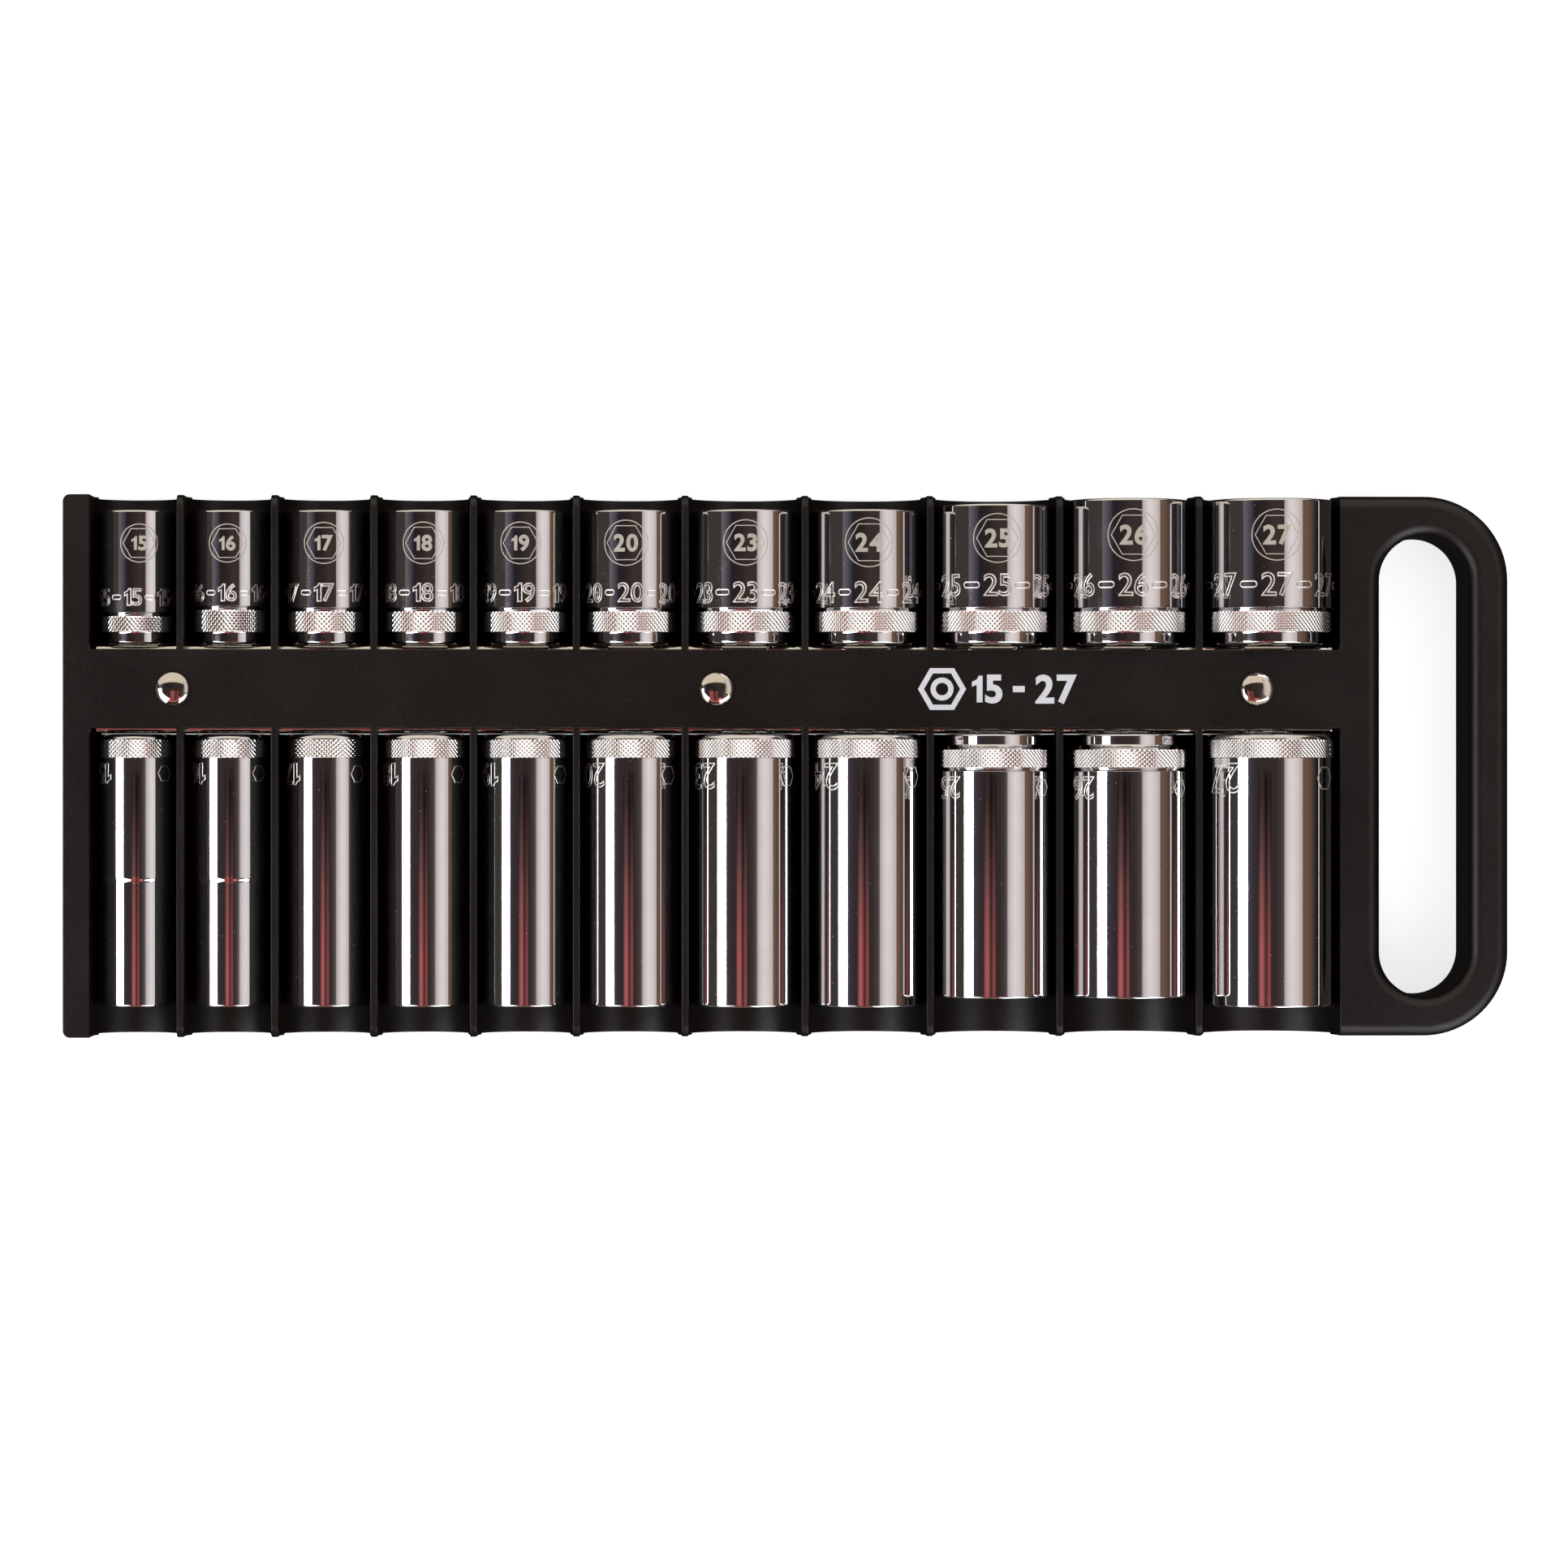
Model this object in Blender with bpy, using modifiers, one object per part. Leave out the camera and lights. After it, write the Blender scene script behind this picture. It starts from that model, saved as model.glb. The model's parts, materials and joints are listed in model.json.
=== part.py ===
"""Socket rail: a moulded tray with a magnetic spine, eleven short and eleven deep
half inch drive sockets, and a carrying handle at one end.

Frame: metres, +Z up. The rail lies flat on Z = 0 with its troughs open upwards.
+X runs along the spine towards the handle, and +Y points to the short sockets.
The origin is the centre of the rail's footprint, on the surface it lies on.
"""

import math

import bmesh
import bpy
from mathutils import Matrix, Vector

MM = 0.001

# The sockets: hex size in millimetres, then the outside diameter, the play on each
# side in the trough, the length of the short socket and the length of the deep one.
SOCKETS = (
    (15, 21.9 * MM, 1.40 * MM, 38.0 * MM, 77.5 * MM),
    (16, 22.2 * MM, 1.25 * MM, 38.0 * MM, 77.5 * MM),
    (17, 23.9 * MM, 1.10 * MM, 38.0 * MM, 77.5 * MM),
    (18, 24.9 * MM, 0.65 * MM, 38.0 * MM, 77.5 * MM),
    (19, 25.9 * MM, 0.65 * MM, 38.0 * MM, 77.5 * MM),
    (20, 27.5 * MM, 0.70 * MM, 38.0 * MM, 77.5 * MM),
    (23, 30.4 * MM, 0.85 * MM, 38.0 * MM, 77.5 * MM),
    (24, 31.9 * MM, 0.85 * MM, 38.0 * MM, 77.5 * MM),
    (25, 33.6 * MM, 0.65 * MM, 39.5 * MM, 75.0 * MM),
    (26, 35.2 * MM, 1.30 * MM, 41.0 * MM, 75.0 * MM),
    (27, 36.7 * MM, 1.25 * MM, 41.0 * MM, 77.5 * MM),
)
NECKED_DEEP = (25, 26)
WAISTED_DEEP = (15, 16)

# Socket details.
DRIVE_SQUARE = 12.9 * MM
DRIVE_CORNER_EASE = 0.95 * MM
DRIVE_DEPTH = 16.5 * MM
HEX_SLACK = 0.3 * MM
SHORT_HEX_DEPTH = 18.0 * MM
DEEP_HEX_DEPTH = 26.0 * MM
BORE_UNDER_HEX = 0.6 * MM
WIDEST_BORE = 16.5 * MM
RIM_CHAMFER = 0.5 * MM
NECK_RATIO = 0.84
NECK_LENGTH = 3.4 * MM
NECK_CHAMFER = 0.6 * MM
KNURL_RATIO = 0.97
KNURL_LENGTH = 5.4 * MM
GROOVE_WIDTH = 1.0 * MM
GROOVE_DEPTH = 0.9 * MM
DRIVE_END_CHAMFER = 1.5 * MM
WAIST_FROM_DRIVE = 41.5 * MM
WAIST_DEPTH = 0.5 * MM
WAIST_HALF_LENGTH = 1.2 * MM

# Tray.
RAIL_HEIGHT = 26.0 * MM
SHORT_TROUGH_LENGTH = 42.6 * MM
DEEP_TROUGH_LENGTH = 86.4 * MM
DIVIDER = 2.0 * MM
FLOOR = 2.5 * MM
SHELL = 3.3 * MM
SKIRT = 2.5 * MM
PLATE_PROUD = 0.25 * MM
END_PLATE = 7.4 * MM
END_PLATE_CORNER = 2.0 * MM
END_PLATE_EDGE = 0.4 * MM
EDGE_ROUND = 3.5 * MM

# Handle.
PALM_PLATE = 11.6 * MM
HAND_HOLE_WIDTH = 25.6 * MM
HANDLE_BAR = 11.2 * MM
HANDLE_WALL = 2.8 * MM

# Magnetic spine.
POLE_PACK_WIDTH = 25.0 * MM
STEEL_SHOWING = 1.3 * MM
POLE_BAR_THICKNESS = 3.0 * MM
POLE_BAR_EDGE = 1.2 * MM
POLE_END_INSET = 1.4 * MM
STEEL_TOP_BELOW_COVER = 6.7 * MM
COVER_SKIN = 3.0 * MM
COVER_SIDE = 2.8 * MM
SPINE_WALL = 2.0 * MM
BASE_STRIP_FOOT = 0.3 * MM
BASE_STRIP_THICKNESS = 2.3 * MM
MAGNET_HEIGHT = 12.0 * MM
MAGNETS_PER_BAY = 3
MAGNET_SPACING = 3.0 * MM

# Rivets.
RIVET_FROM_SPINE_END = 22.3 * MM
RIVET_HEAD = 9.5 * MM
RIVET_HEAD_HEIGHT = 2.3 * MM
RIVET_SHANK = 4.8 * MM
RIVET_TAIL = 7.4 * MM
RIVET_TAIL_HEIGHT = 1.0 * MM
RIVET_TAIL_RECESS = 1.4 * MM
RIVET_HOLE_SLACK = 0.3 * MM
BOSS = 11.0 * MM

# Meeting faces stay this far apart.
GAP = 0.3 * MM
# Cutters run this far past the face they open.
OVERCUT = 2.0 * MM

SOCKET_SIDES = 20
BORE_SIDES = 12
TROUGH_STEPS = 12
CORNER_STEPS = 6
BEVEL_STEPS = 2
RIVET_SIDES = 16
DOME_STEPS = 4


# Places that follow from the sizes.
TROUGH_WIDTHS = tuple(diameter + 2 * play for _, diameter, play, *_ in SOCKETS)
CELLS_LENGTH = sum(TROUGH_WIDTHS) + DIVIDER * (len(SOCKETS) - 1)
RAIL_LENGTH = END_PLATE + CELLS_LENGTH + PALM_PLATE + HAND_HOLE_WIDTH + HANDLE_BAR
RAIL_DEPTH = SHORT_TROUGH_LENGTH + POLE_PACK_WIDTH + DEEP_TROUGH_LENGTH
RAIL_LEFT = -RAIL_LENGTH / 2
RAIL_RIGHT = RAIL_LENGTH / 2
RAIL_BACK = RAIL_DEPTH / 2
RAIL_FRONT = -RAIL_DEPTH / 2
BODY_BACK = RAIL_BACK - PLATE_PROUD
BODY_FRONT = RAIL_FRONT + PLATE_PROUD
CELLS_LEFT = RAIL_LEFT + END_PLATE
CELLS_RIGHT = CELLS_LEFT + CELLS_LENGTH
SPINE_X = (CELLS_LEFT + CELLS_RIGHT) / 2
POLE_BACK = RAIL_BACK - SHORT_TROUGH_LENGTH
POLE_FRONT = POLE_BACK - POLE_PACK_WIDTH
SPINE_Y = (POLE_BACK + POLE_FRONT) / 2
COVER_HALF = POLE_PACK_WIDTH / 2 - STEEL_SHOWING
COVER_UNDERSIDE = RAIL_HEIGHT - STEEL_TOP_BELOW_COVER
POLE_LEFT = CELLS_LEFT + POLE_END_INSET
POLE_RIGHT = CELLS_RIGHT - POLE_END_INSET
RIVET_XS = (POLE_LEFT + RIVET_FROM_SPINE_END, SPINE_X, POLE_RIGHT - RIVET_FROM_SPINE_END)
STRIP_TOP = BASE_STRIP_FOOT + BASE_STRIP_THICKNESS
HAND_HOLE_LEFT = CELLS_RIGHT + PALM_PLATE
HAND_HOLE_RIGHT = HAND_HOLE_LEFT + HAND_HOLE_WIDTH


def collection(name):
    made = bpy.data.collections.new(name)
    bpy.context.scene.collection.children.link(made)
    return made


def clear_scene():
    for old in list(bpy.data.objects):
        bpy.data.objects.remove(old, do_unlink=True)


def material(name, colour, roughness, metallic):
    made = bpy.data.materials.new(name)
    made.use_nodes = True
    shader = made.node_tree.nodes["Principled BSDF"]
    shader.inputs["Base Color"].default_value = (*colour, 1.0)
    shader.inputs["Roughness"].default_value = roughness
    shader.inputs["Metallic"].default_value = metallic
    return made


def link(name, mesh, home):
    made = bpy.data.objects.new(name, mesh)
    home.objects.link(made)
    return made


def shade(piece, angle=35.0):
    piece.data.shade_smooth()
    piece.data.set_sharp_from_angle(angle=math.radians(angle))


def box(name, low, high, home):
    """An upright box between two opposite corners."""
    low, high = Vector(low), Vector(high)
    body = bmesh.new()
    bmesh.ops.create_cube(body, size=1.0)
    size = high - low
    bmesh.ops.scale(body, vec=size, verts=body.verts)
    bmesh.ops.translate(body, vec=(low + high) / 2, verts=body.verts)
    mesh = bpy.data.meshes.new(name)
    body.to_mesh(mesh)
    body.free()
    return link(name, mesh, home)


def rod(name, radius, start, end, sides, home):
    """A prism of equal sides along local Z, from start to end, about the origin."""
    body = bmesh.new()
    bmesh.ops.create_cone(
        body,
        cap_ends=True,
        segments=sides,
        radius1=radius,
        radius2=radius,
        depth=end - start,
        matrix=Matrix.Translation((0, 0, (start + end) / 2)),
    )
    mesh = bpy.data.meshes.new(name)
    body.to_mesh(mesh)
    body.free()
    return link(name, mesh, home)


def arc(centre, radius, first, last, steps):
    """Points along an arc, angles in degrees."""
    turns = [math.radians(first + (last - first) * k / steps) for k in range(steps + 1)]
    return [(centre[0] + radius * math.cos(t), centre[1] + radius * math.sin(t)) for t in turns]


def outline_curve(name, loops, thickness, home, edge_round=0.0):
    """A flat outline, holes included, thickened evenly about its own plane."""
    curve = bpy.data.curves.new(name, "CURVE")
    curve.dimensions = "2D"
    curve.fill_mode = "BOTH"
    curve.extrude = thickness / 2 - edge_round
    curve.bevel_depth = edge_round
    curve.bevel_resolution = BEVEL_STEPS
    for loop in loops:
        spline = curve.splines.new("POLY")
        spline.points.add(len(loop) - 1)
        for point, (x, y) in zip(spline.points, loop):
            point.co = (x, y, 0.0, 1.0)
        spline.use_cyclic_u = True
    made = bpy.data.objects.new(name, curve)
    home.objects.link(made)
    return made


def as_mesh(curve_object, home):
    """The curve's solid as a welded mesh object in the curve's place."""
    bpy.context.view_layer.update()
    graph = bpy.context.evaluated_depsgraph_get()
    mesh = bpy.data.meshes.new_from_object(curve_object.evaluated_get(graph))
    body = bmesh.new()
    body.from_mesh(mesh)
    bmesh.ops.remove_doubles(body, verts=body.verts, dist=1e-6)
    bmesh.ops.recalc_face_normals(body, faces=body.faces)
    body.to_mesh(mesh)
    body.free()
    name, place = curve_object.name, curve_object.matrix_world.copy()
    bpy.data.objects.remove(curve_object, do_unlink=True)
    made = link(name, mesh, home)
    made.matrix_world = place
    return made


def cut(piece, cutter, name):
    """Subtracts an object, or every object of a collection."""
    step = piece.modifiers.new(name, "BOOLEAN")
    step.operation = "DIFFERENCE"
    if isinstance(cutter, bpy.types.Collection):
        step.operand_type = "COLLECTION"
        step.collection = cutter
    else:
        step.object = cutter


def hide_cutters(home):
    for tool in home.all_objects:
        tool.hide_render = True
        tool.display_type = "WIRE"


def troughs():
    """For each hex size: its trough's centre line in X, and half its width."""
    left = CELLS_LEFT
    for (size, *_), width in zip(SOCKETS, TROUGH_WIDTHS):
        yield size, left + width / 2, width / 2
        left += width + DIVIDER


def u_section(middle, half_width, centre_height, top):
    """A trough's section in X and Z: a half round floor with upright sides."""
    floor = arc((middle, centre_height), half_width, 180, 360, TROUGH_STEPS)
    return [(middle - half_width, top), *floor, (middle + half_width, top)]


def along_y(name, section, y_low, y_high, home):
    """A section drawn in X and Z, drawn out from y_low to y_high."""
    curve = outline_curve(name, [section], y_high - y_low, home)
    curve.rotation_euler = (math.pi / 2, 0, 0)
    curve.location = (0, (y_low + y_high) / 2, 0)
    return as_mesh(curve, home)


def trough_tools(cutters):
    """What the tray's troughs remove, and the shells that stay under them."""
    hollows = bpy.data.collections.new("trough_hollows")
    shells = bpy.data.collections.new("trough_shells")
    cutters.children.link(hollows)
    cutters.children.link(shells)
    rows = (
        ("short", SPINE_Y + COVER_HALF, RAIL_BACK + OVERCUT),
        ("deep", RAIL_FRONT - OVERCUT, SPINE_Y - COVER_HALF),
    )
    top = RAIL_HEIGHT + OVERCUT
    for size, middle, half in troughs():
        for row, low, high in rows:
            hollow = u_section(middle, half, FLOOR + half, top)
            along_y(f"{row}_hollow_{size}", hollow, low, high, hollows)
            shell = u_section(middle, half + SHELL, FLOOR + half, top)
            along_y(f"{row}_shell_{size}", shell, low - OVERCUT, high + OVERCUT, shells)
    return hollows, shells


def tray_blank(parts, cutters):
    """The tray before anything is hollowed out: rounded slab, hand hole and end plate."""
    inset = EDGE_ROUND
    corner = HANDLE_BAR + HAND_HOLE_WIDTH / 2
    left = CELLS_LEFT - inset
    right, back, front = RAIL_RIGHT - inset, BODY_BACK - inset, BODY_FRONT + inset
    bend = corner - inset
    outer = [(left, front)]
    outer += arc((right - bend, front + bend), bend, 270, 360, CORNER_STEPS)
    outer += arc((right - bend, back - bend), bend, 0, 90, CORNER_STEPS)
    outer += [(left, back)]
    height = RAIL_HEIGHT + EDGE_ROUND + OVERCUT
    slab = outline_curve("tray", [outer, hand_hole(inset)], height, parts, EDGE_ROUND)
    slab.location = (0, 0, RAIL_HEIGHT - height / 2)
    slab = as_mesh(slab, parts)
    plate_outline = end_plate_outline(END_PLATE_EDGE)
    plate_height = RAIL_HEIGHT + END_PLATE_EDGE + OVERCUT
    plate = outline_curve("end_plate", [plate_outline], plate_height, cutters, END_PLATE_EDGE)
    plate.location = (0, 0, RAIL_HEIGHT - plate_height / 2)
    plate = as_mesh(plate, cutters)
    join = slab.modifiers.new("end_plate", "BOOLEAN")
    join.operation = "UNION"
    join.object = plate
    low = (RAIL_LEFT - OVERCUT, RAIL_FRONT - OVERCUT, -EDGE_ROUND - 2 * OVERCUT)
    high = (RAIL_RIGHT + OVERCUT, RAIL_BACK + OVERCUT, 0.0)
    cut(slab, box("below_floor", low, high, cutters), "flat_underside")
    return slab


def hand_hole(grow):
    """The hand hole's outline, larger all round by grow, wound against the outer one."""
    radius = HAND_HOLE_WIDTH / 2
    x = (HAND_HOLE_LEFT + HAND_HOLE_RIGHT) / 2
    y = BODY_BACK - HANDLE_BAR - radius
    ends = arc((x, y), radius + grow, 0, 180, 2 * CORNER_STEPS)
    ends += arc((x, -y), radius + grow, 180, 360, 2 * CORNER_STEPS)
    return ends[::-1]


def end_plate_outline(inset):
    bend = END_PLATE_CORNER - inset
    left, right = RAIL_LEFT + inset, CELLS_LEFT - inset
    front, back = RAIL_FRONT + inset, RAIL_BACK - inset
    steps = CORNER_STEPS // 2
    points = [(right, front), (right, back)]
    points += arc((left + bend, back - bend), bend, 90, 180, steps)
    points += arc((left + bend, front + bend), bend, 180, 270, steps)
    return points


def handle_core(cutters):
    """The hollow inside the handle, open underneath."""
    inset = HANDLE_WALL
    bend = HANDLE_BAR + HAND_HOLE_WIDTH / 2 - inset
    left = CELLS_RIGHT + inset
    right, back, front = RAIL_RIGHT - inset, BODY_BACK - inset, BODY_FRONT + inset
    outer = [(left, front)]
    outer += arc((right - bend, front + bend), bend, 270, 360, CORNER_STEPS)
    outer += arc((right - bend, back - bend), bend, 0, 90, CORNER_STEPS)
    outer += [(left, back)]
    top = RAIL_HEIGHT - COVER_SKIN
    core = outline_curve("handle_core", [outer, hand_hole(inset)], top + OVERCUT, cutters)
    core.location = (0, 0, (top - OVERCUT) / 2)
    return as_mesh(core, cutters)


def underside_cores(cutters, shells):
    """The hollows between the trough shells, one each side of the spine."""
    spans = (
        ("back_core", POLE_BACK + GAP + SPINE_WALL, BODY_BACK - SKIRT),
        ("front_core", BODY_FRONT + SKIRT, POLE_FRONT - GAP - SPINE_WALL),
    )
    cores = []
    for name, low, high in spans:
        core = box(
            name,
            (RAIL_LEFT + SKIRT, low, -OVERCUT),
            (CELLS_RIGHT + FLOOR / 2, high, RAIL_HEIGHT - COVER_SKIN),
            cutters,
        )
        cut(core, shells, "trough_shells")
        cores.append(core)
    return cores


def spine_tools(cutters):
    """The slot for the pole bars, the cover's hollow and the rivet holes."""
    bosses = bpy.data.collections.new("bosses")
    holes = bpy.data.collections.new("rivet_holes")
    cutters.children.link(bosses)
    cutters.children.link(holes)
    foot = STRIP_TOP + GAP
    for count, x in enumerate(RIVET_XS, start=1):
        boss = rod(f"boss_{count}", BOSS / 2, foot, RAIL_HEIGHT, RIVET_SIDES, bosses)
        boss.location = (x, SPINE_Y, 0)
        hole_radius = RIVET_SHANK / 2 + RIVET_HOLE_SLACK
        top = RAIL_HEIGHT + OVERCUT
        hole = rod(f"hole_{count}", hole_radius, -OVERCUT, top, RIVET_SIDES, holes)
        hole.location = (x, SPINE_Y, 0)
    slot = box(
        "pole_slot",
        (POLE_LEFT - GAP, POLE_FRONT - GAP, -OVERCUT),
        (POLE_RIGHT + GAP, POLE_BACK + GAP, COVER_UNDERSIDE),
        cutters,
    )
    hollow_half = COVER_HALF - COVER_SIDE
    hollow = box(
        "cover_hollow",
        (POLE_LEFT + COVER_SIDE, SPINE_Y - hollow_half, COVER_UNDERSIDE - OVERCUT),
        (POLE_RIGHT - COVER_SIDE, SPINE_Y + hollow_half, RAIL_HEIGHT - COVER_SKIN),
        cutters,
    )
    cut(slot, bosses, "bosses")
    cut(hollow, bosses, "bosses")
    return slot, hollow, holes


def tray(parts, cutters, finish):
    hollows, shells = trough_tools(cutters)
    body = tray_blank(parts, cutters)
    cut(body, hollows, "troughs")
    for core in underside_cores(cutters, shells):
        cut(body, core, core.name)
    cut(body, handle_core(cutters), "handle_core")
    slot, hollow, holes = spine_tools(cutters)
    cut(body, slot, "pole_slot")
    cut(body, hollow, "cover_hollow")
    cut(body, holes, "rivet_holes")
    body.data.materials.append(finish)
    return body


def pole_bar(name, outward, finish, parts):
    """A steel bar with its top outer edge rounded, where it shows beside the cover."""
    outer = POLE_BACK if outward > 0 else POLE_FRONT
    inner = outer - outward * POLE_BAR_THICKNESS
    low, top = STRIP_TOP + GAP, COVER_UNDERSIDE - GAP
    bend = arc((POLE_BAR_THICKNESS - POLE_BAR_EDGE, top - POLE_BAR_EDGE), POLE_BAR_EDGE, 0, 90, 3)
    section = [(0.0, low), (POLE_BAR_THICKNESS, low), *bend, (0.0, top)]
    length = POLE_RIGHT - POLE_LEFT
    curve = outline_curve(name, [section], length, parts)
    # Section X runs outwards across the rail, section Y up, and the length along X.
    across = Vector((0, outward, 0))
    up = Vector((0, 0, 1))
    along = across.cross(up)
    turn = Matrix((across, up, along)).transposed().to_4x4()
    curve.matrix_world = Matrix.Translation((SPINE_X, inner, 0)) @ turn
    bar = as_mesh(curve, parts)
    bar.data.materials.append(finish)
    shade(bar)
    return bar


def magnet_spans():
    """The start and end in X of every magnet block, clear of the rivet bosses."""
    walls = [POLE_LEFT, *RIVET_XS, POLE_RIGHT]
    for bay, (left, right) in enumerate(zip(walls, walls[1:])):
        low = left + (MAGNET_SPACING if bay == 0 else BOSS / 2 + GAP)
        high = right - (MAGNET_SPACING if bay == len(walls) - 2 else BOSS / 2 + GAP)
        count = 1 if bay in (0, len(walls) - 2) else MAGNETS_PER_BAY
        length = (high - low - MAGNET_SPACING * (count - 1)) / count
        for k in range(count):
            start = low + k * (length + MAGNET_SPACING)
            yield start, start + length


def magnets(finish, parts):
    """Ferrite blocks standing on the base strip between the two pole bars."""
    low = STRIP_TOP + GAP
    half = POLE_PACK_WIDTH / 2 - POLE_BAR_THICKNESS - GAP
    made = []
    for count, (start, end) in enumerate(magnet_spans(), start=1):
        corner = (start, SPINE_Y - half, low)
        opposite = (end, SPINE_Y + half, low + MAGNET_HEIGHT)
        block = box(f"magnet_{count}", corner, opposite, parts)
        block.data.materials.append(finish)
        made.append(block)
    return made


def base_strip(finish, parts, cutters):
    """The strip that closes the spine from below, with a recess for each rivet tail."""
    strip = box(
        "base_strip",
        (POLE_LEFT, POLE_FRONT, BASE_STRIP_FOOT),
        (POLE_RIGHT, POLE_BACK, STRIP_TOP),
        parts,
    )
    tools = bpy.data.collections.new("strip_holes")
    cutters.children.link(tools)
    hole = RIVET_SHANK / 2 + RIVET_HOLE_SLACK
    recess = RIVET_TAIL / 2 + RIVET_HOLE_SLACK
    top = STRIP_TOP + OVERCUT
    tail_seat = BASE_STRIP_FOOT + RIVET_TAIL_RECESS
    for count, x in enumerate(RIVET_XS, start=1):
        place = (x, SPINE_Y, 0)
        rod(f"strip_hole_{count}", hole, -OVERCUT, top, RIVET_SIDES, tools).location = place
        sink = rod(
            f"tail_recess_{count}", recess, -OVERCUT, tail_seat, RIVET_SIDES, tools
        )
        sink.location = place
    cut(strip, tools, "rivet_holes")
    strip.data.materials.append(finish)
    return strip


def turned(name, profile, sides, home):
    """A solid turned about local Z from a profile that starts and ends on the axis."""
    mesh = bpy.data.meshes.new(name)
    edges = [(k, k + 1) for k in range(len(profile) - 1)]
    mesh.from_pydata([(r, 0.0, z) for r, z in profile], edges, [])
    made = link(name, mesh, home)
    screw = made.modifiers.new("turn", "SCREW")
    screw.axis = "Z"
    screw.angle = math.tau
    screw.steps = screw.render_steps = sides
    screw.use_merge_vertices = True
    screw.merge_threshold = 0.00001
    screw.use_smooth_shade = True
    return made


def rivet_profile():
    """From the dome's top down to the clinched tail, radius and height."""
    head, shank, tail = RIVET_HEAD / 2, RIVET_SHANK / 2, RIVET_TAIL / 2
    seat = RAIL_HEIGHT + GAP
    tail_top = BASE_STRIP_FOOT + RIVET_TAIL_RECESS - GAP
    tail_foot = tail_top - RIVET_TAIL_HEIGHT
    sphere = (head**2 + RIVET_HEAD_HEIGHT**2) / (2 * RIVET_HEAD_HEIGHT)
    centre = seat + RIVET_HEAD_HEIGHT - sphere
    edge = math.asin(head / sphere)
    turns = [edge * k / DOME_STEPS for k in range(DOME_STEPS + 1)]
    dome = [(sphere * math.sin(t), centre + sphere * math.cos(t)) for t in turns]
    return [
        *dome,
        (shank, seat),
        (shank, tail_top),
        (tail, tail_top),
        (tail, tail_foot),
        (0.0, tail_foot),
    ]


def rivets(finish, parts):
    """Three dome headed rivets that clamp the tray to the base strip."""
    made = []
    for count, x in enumerate(RIVET_XS, start=1):
        rivet = turned(f"rivet_{count}", rivet_profile(), RIVET_SIDES, parts)
        rivet.location = (x, SPINE_Y, 0)
        rivet.data.materials.append(finish)
        made.append(rivet)
    return made


def drive_square(name, home):
    """The square drive hole's cutter, its long edges eased."""
    body = bmesh.new()
    bmesh.ops.create_cube(body, size=1.0)
    depth = DRIVE_DEPTH + OVERCUT
    bmesh.ops.scale(body, vec=(DRIVE_SQUARE, DRIVE_SQUARE, depth), verts=body.verts)
    bmesh.ops.translate(body, vec=(0, 0, DRIVE_DEPTH - depth / 2), verts=body.verts)
    long_edges = [e for e in body.edges if abs(e.verts[0].co.z - e.verts[1].co.z) > depth / 2]
    bmesh.ops.bevel(
        body, geom=long_edges, offset=DRIVE_CORNER_EASE, segments=1, affect="EDGES"
    )
    mesh = bpy.data.meshes.new(name)
    body.to_mesh(mesh)
    body.free()
    return link(name, mesh, home)


def necked_drive_end(radius):
    """From the body down: a groove, the knurled ring, and the neck."""
    knurl, neck = radius * KNURL_RATIO, radius * NECK_RATIO
    knurl_top = NECK_LENGTH + KNURL_LENGTH
    groove_middle = knurl_top + GROOVE_WIDTH / 2
    return [
        (radius, knurl_top + GROOVE_WIDTH),
        (radius - GROOVE_DEPTH, groove_middle),
        (knurl, knurl_top),
        (knurl, NECK_LENGTH),
        (neck, NECK_LENGTH),
        (neck, NECK_CHAMFER),
        (neck - NECK_CHAMFER, 0.0),
    ]


def plain_drive_end(radius):
    return [(radius, DRIVE_END_CHAMFER), (radius - DRIVE_END_CHAMFER, 0.0)]


def socket_profile(radius, length, necked, waisted):
    """A socket's outside, from the mouth down to the drive end at Z = 0."""
    nose = radius - WAIST_DEPTH / 2 if waisted else radius
    points = [(0.0, length), (nose - RIM_CHAMFER, length), (nose, length - RIM_CHAMFER)]
    if waisted:
        points += [
            (nose, WAIST_FROM_DRIVE + WAIST_HALF_LENGTH),
            (radius - WAIST_DEPTH, WAIST_FROM_DRIVE),
            (radius, WAIST_FROM_DRIVE - WAIST_HALF_LENGTH),
        ]
    points += necked_drive_end(radius) if necked else plain_drive_end(radius)
    return [*points, (0.0, 0.0)]


def socket(kind, size, diameter, length, x, parts, cutters, finish):
    """A socket in its trough: drive end against the spine, mouth outwards."""
    outward = 1 if kind == "short" else -1
    necked = kind == "short" or size in NECKED_DEEP
    waisted = kind == "deep" and size in WAISTED_DEEP
    hex_floor = length - (SHORT_HEX_DEPTH if kind == "short" else DEEP_HEX_DEPTH)
    name = f"{kind}_socket_{size}"
    profile = socket_profile(diameter / 2, length, necked, waisted)
    made = turned(name, profile, SOCKET_SIDES, parts)
    drive_face = (POLE_BACK if outward > 0 else POLE_FRONT) + outward * GAP
    made.location = (x, drive_face, FLOOR + GAP + diameter / 2)
    made.rotation_euler = (-outward * math.pi / 2, 0, 0)
    corner = (size * MM + HEX_SLACK) / 2 / math.cos(math.pi / 6)
    bore = min(size * MM - BORE_UNDER_HEX, WIDEST_BORE) / 2
    bore_start, bore_end = DRIVE_DEPTH - OVERCUT / 2, hex_floor + OVERCUT / 2
    tools = (
        rod(f"{name}_hex", corner, hex_floor, length + OVERCUT, 6, cutters),
        rod(f"{name}_bore", bore, bore_start, bore_end, BORE_SIDES, cutters),
        drive_square(f"{name}_drive", cutters),
    )
    for tool in tools:
        tool.parent = made
        cut(made, tool, tool.name.removeprefix(f"{name}_"))
    made.data.materials.append(finish)
    return made


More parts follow.
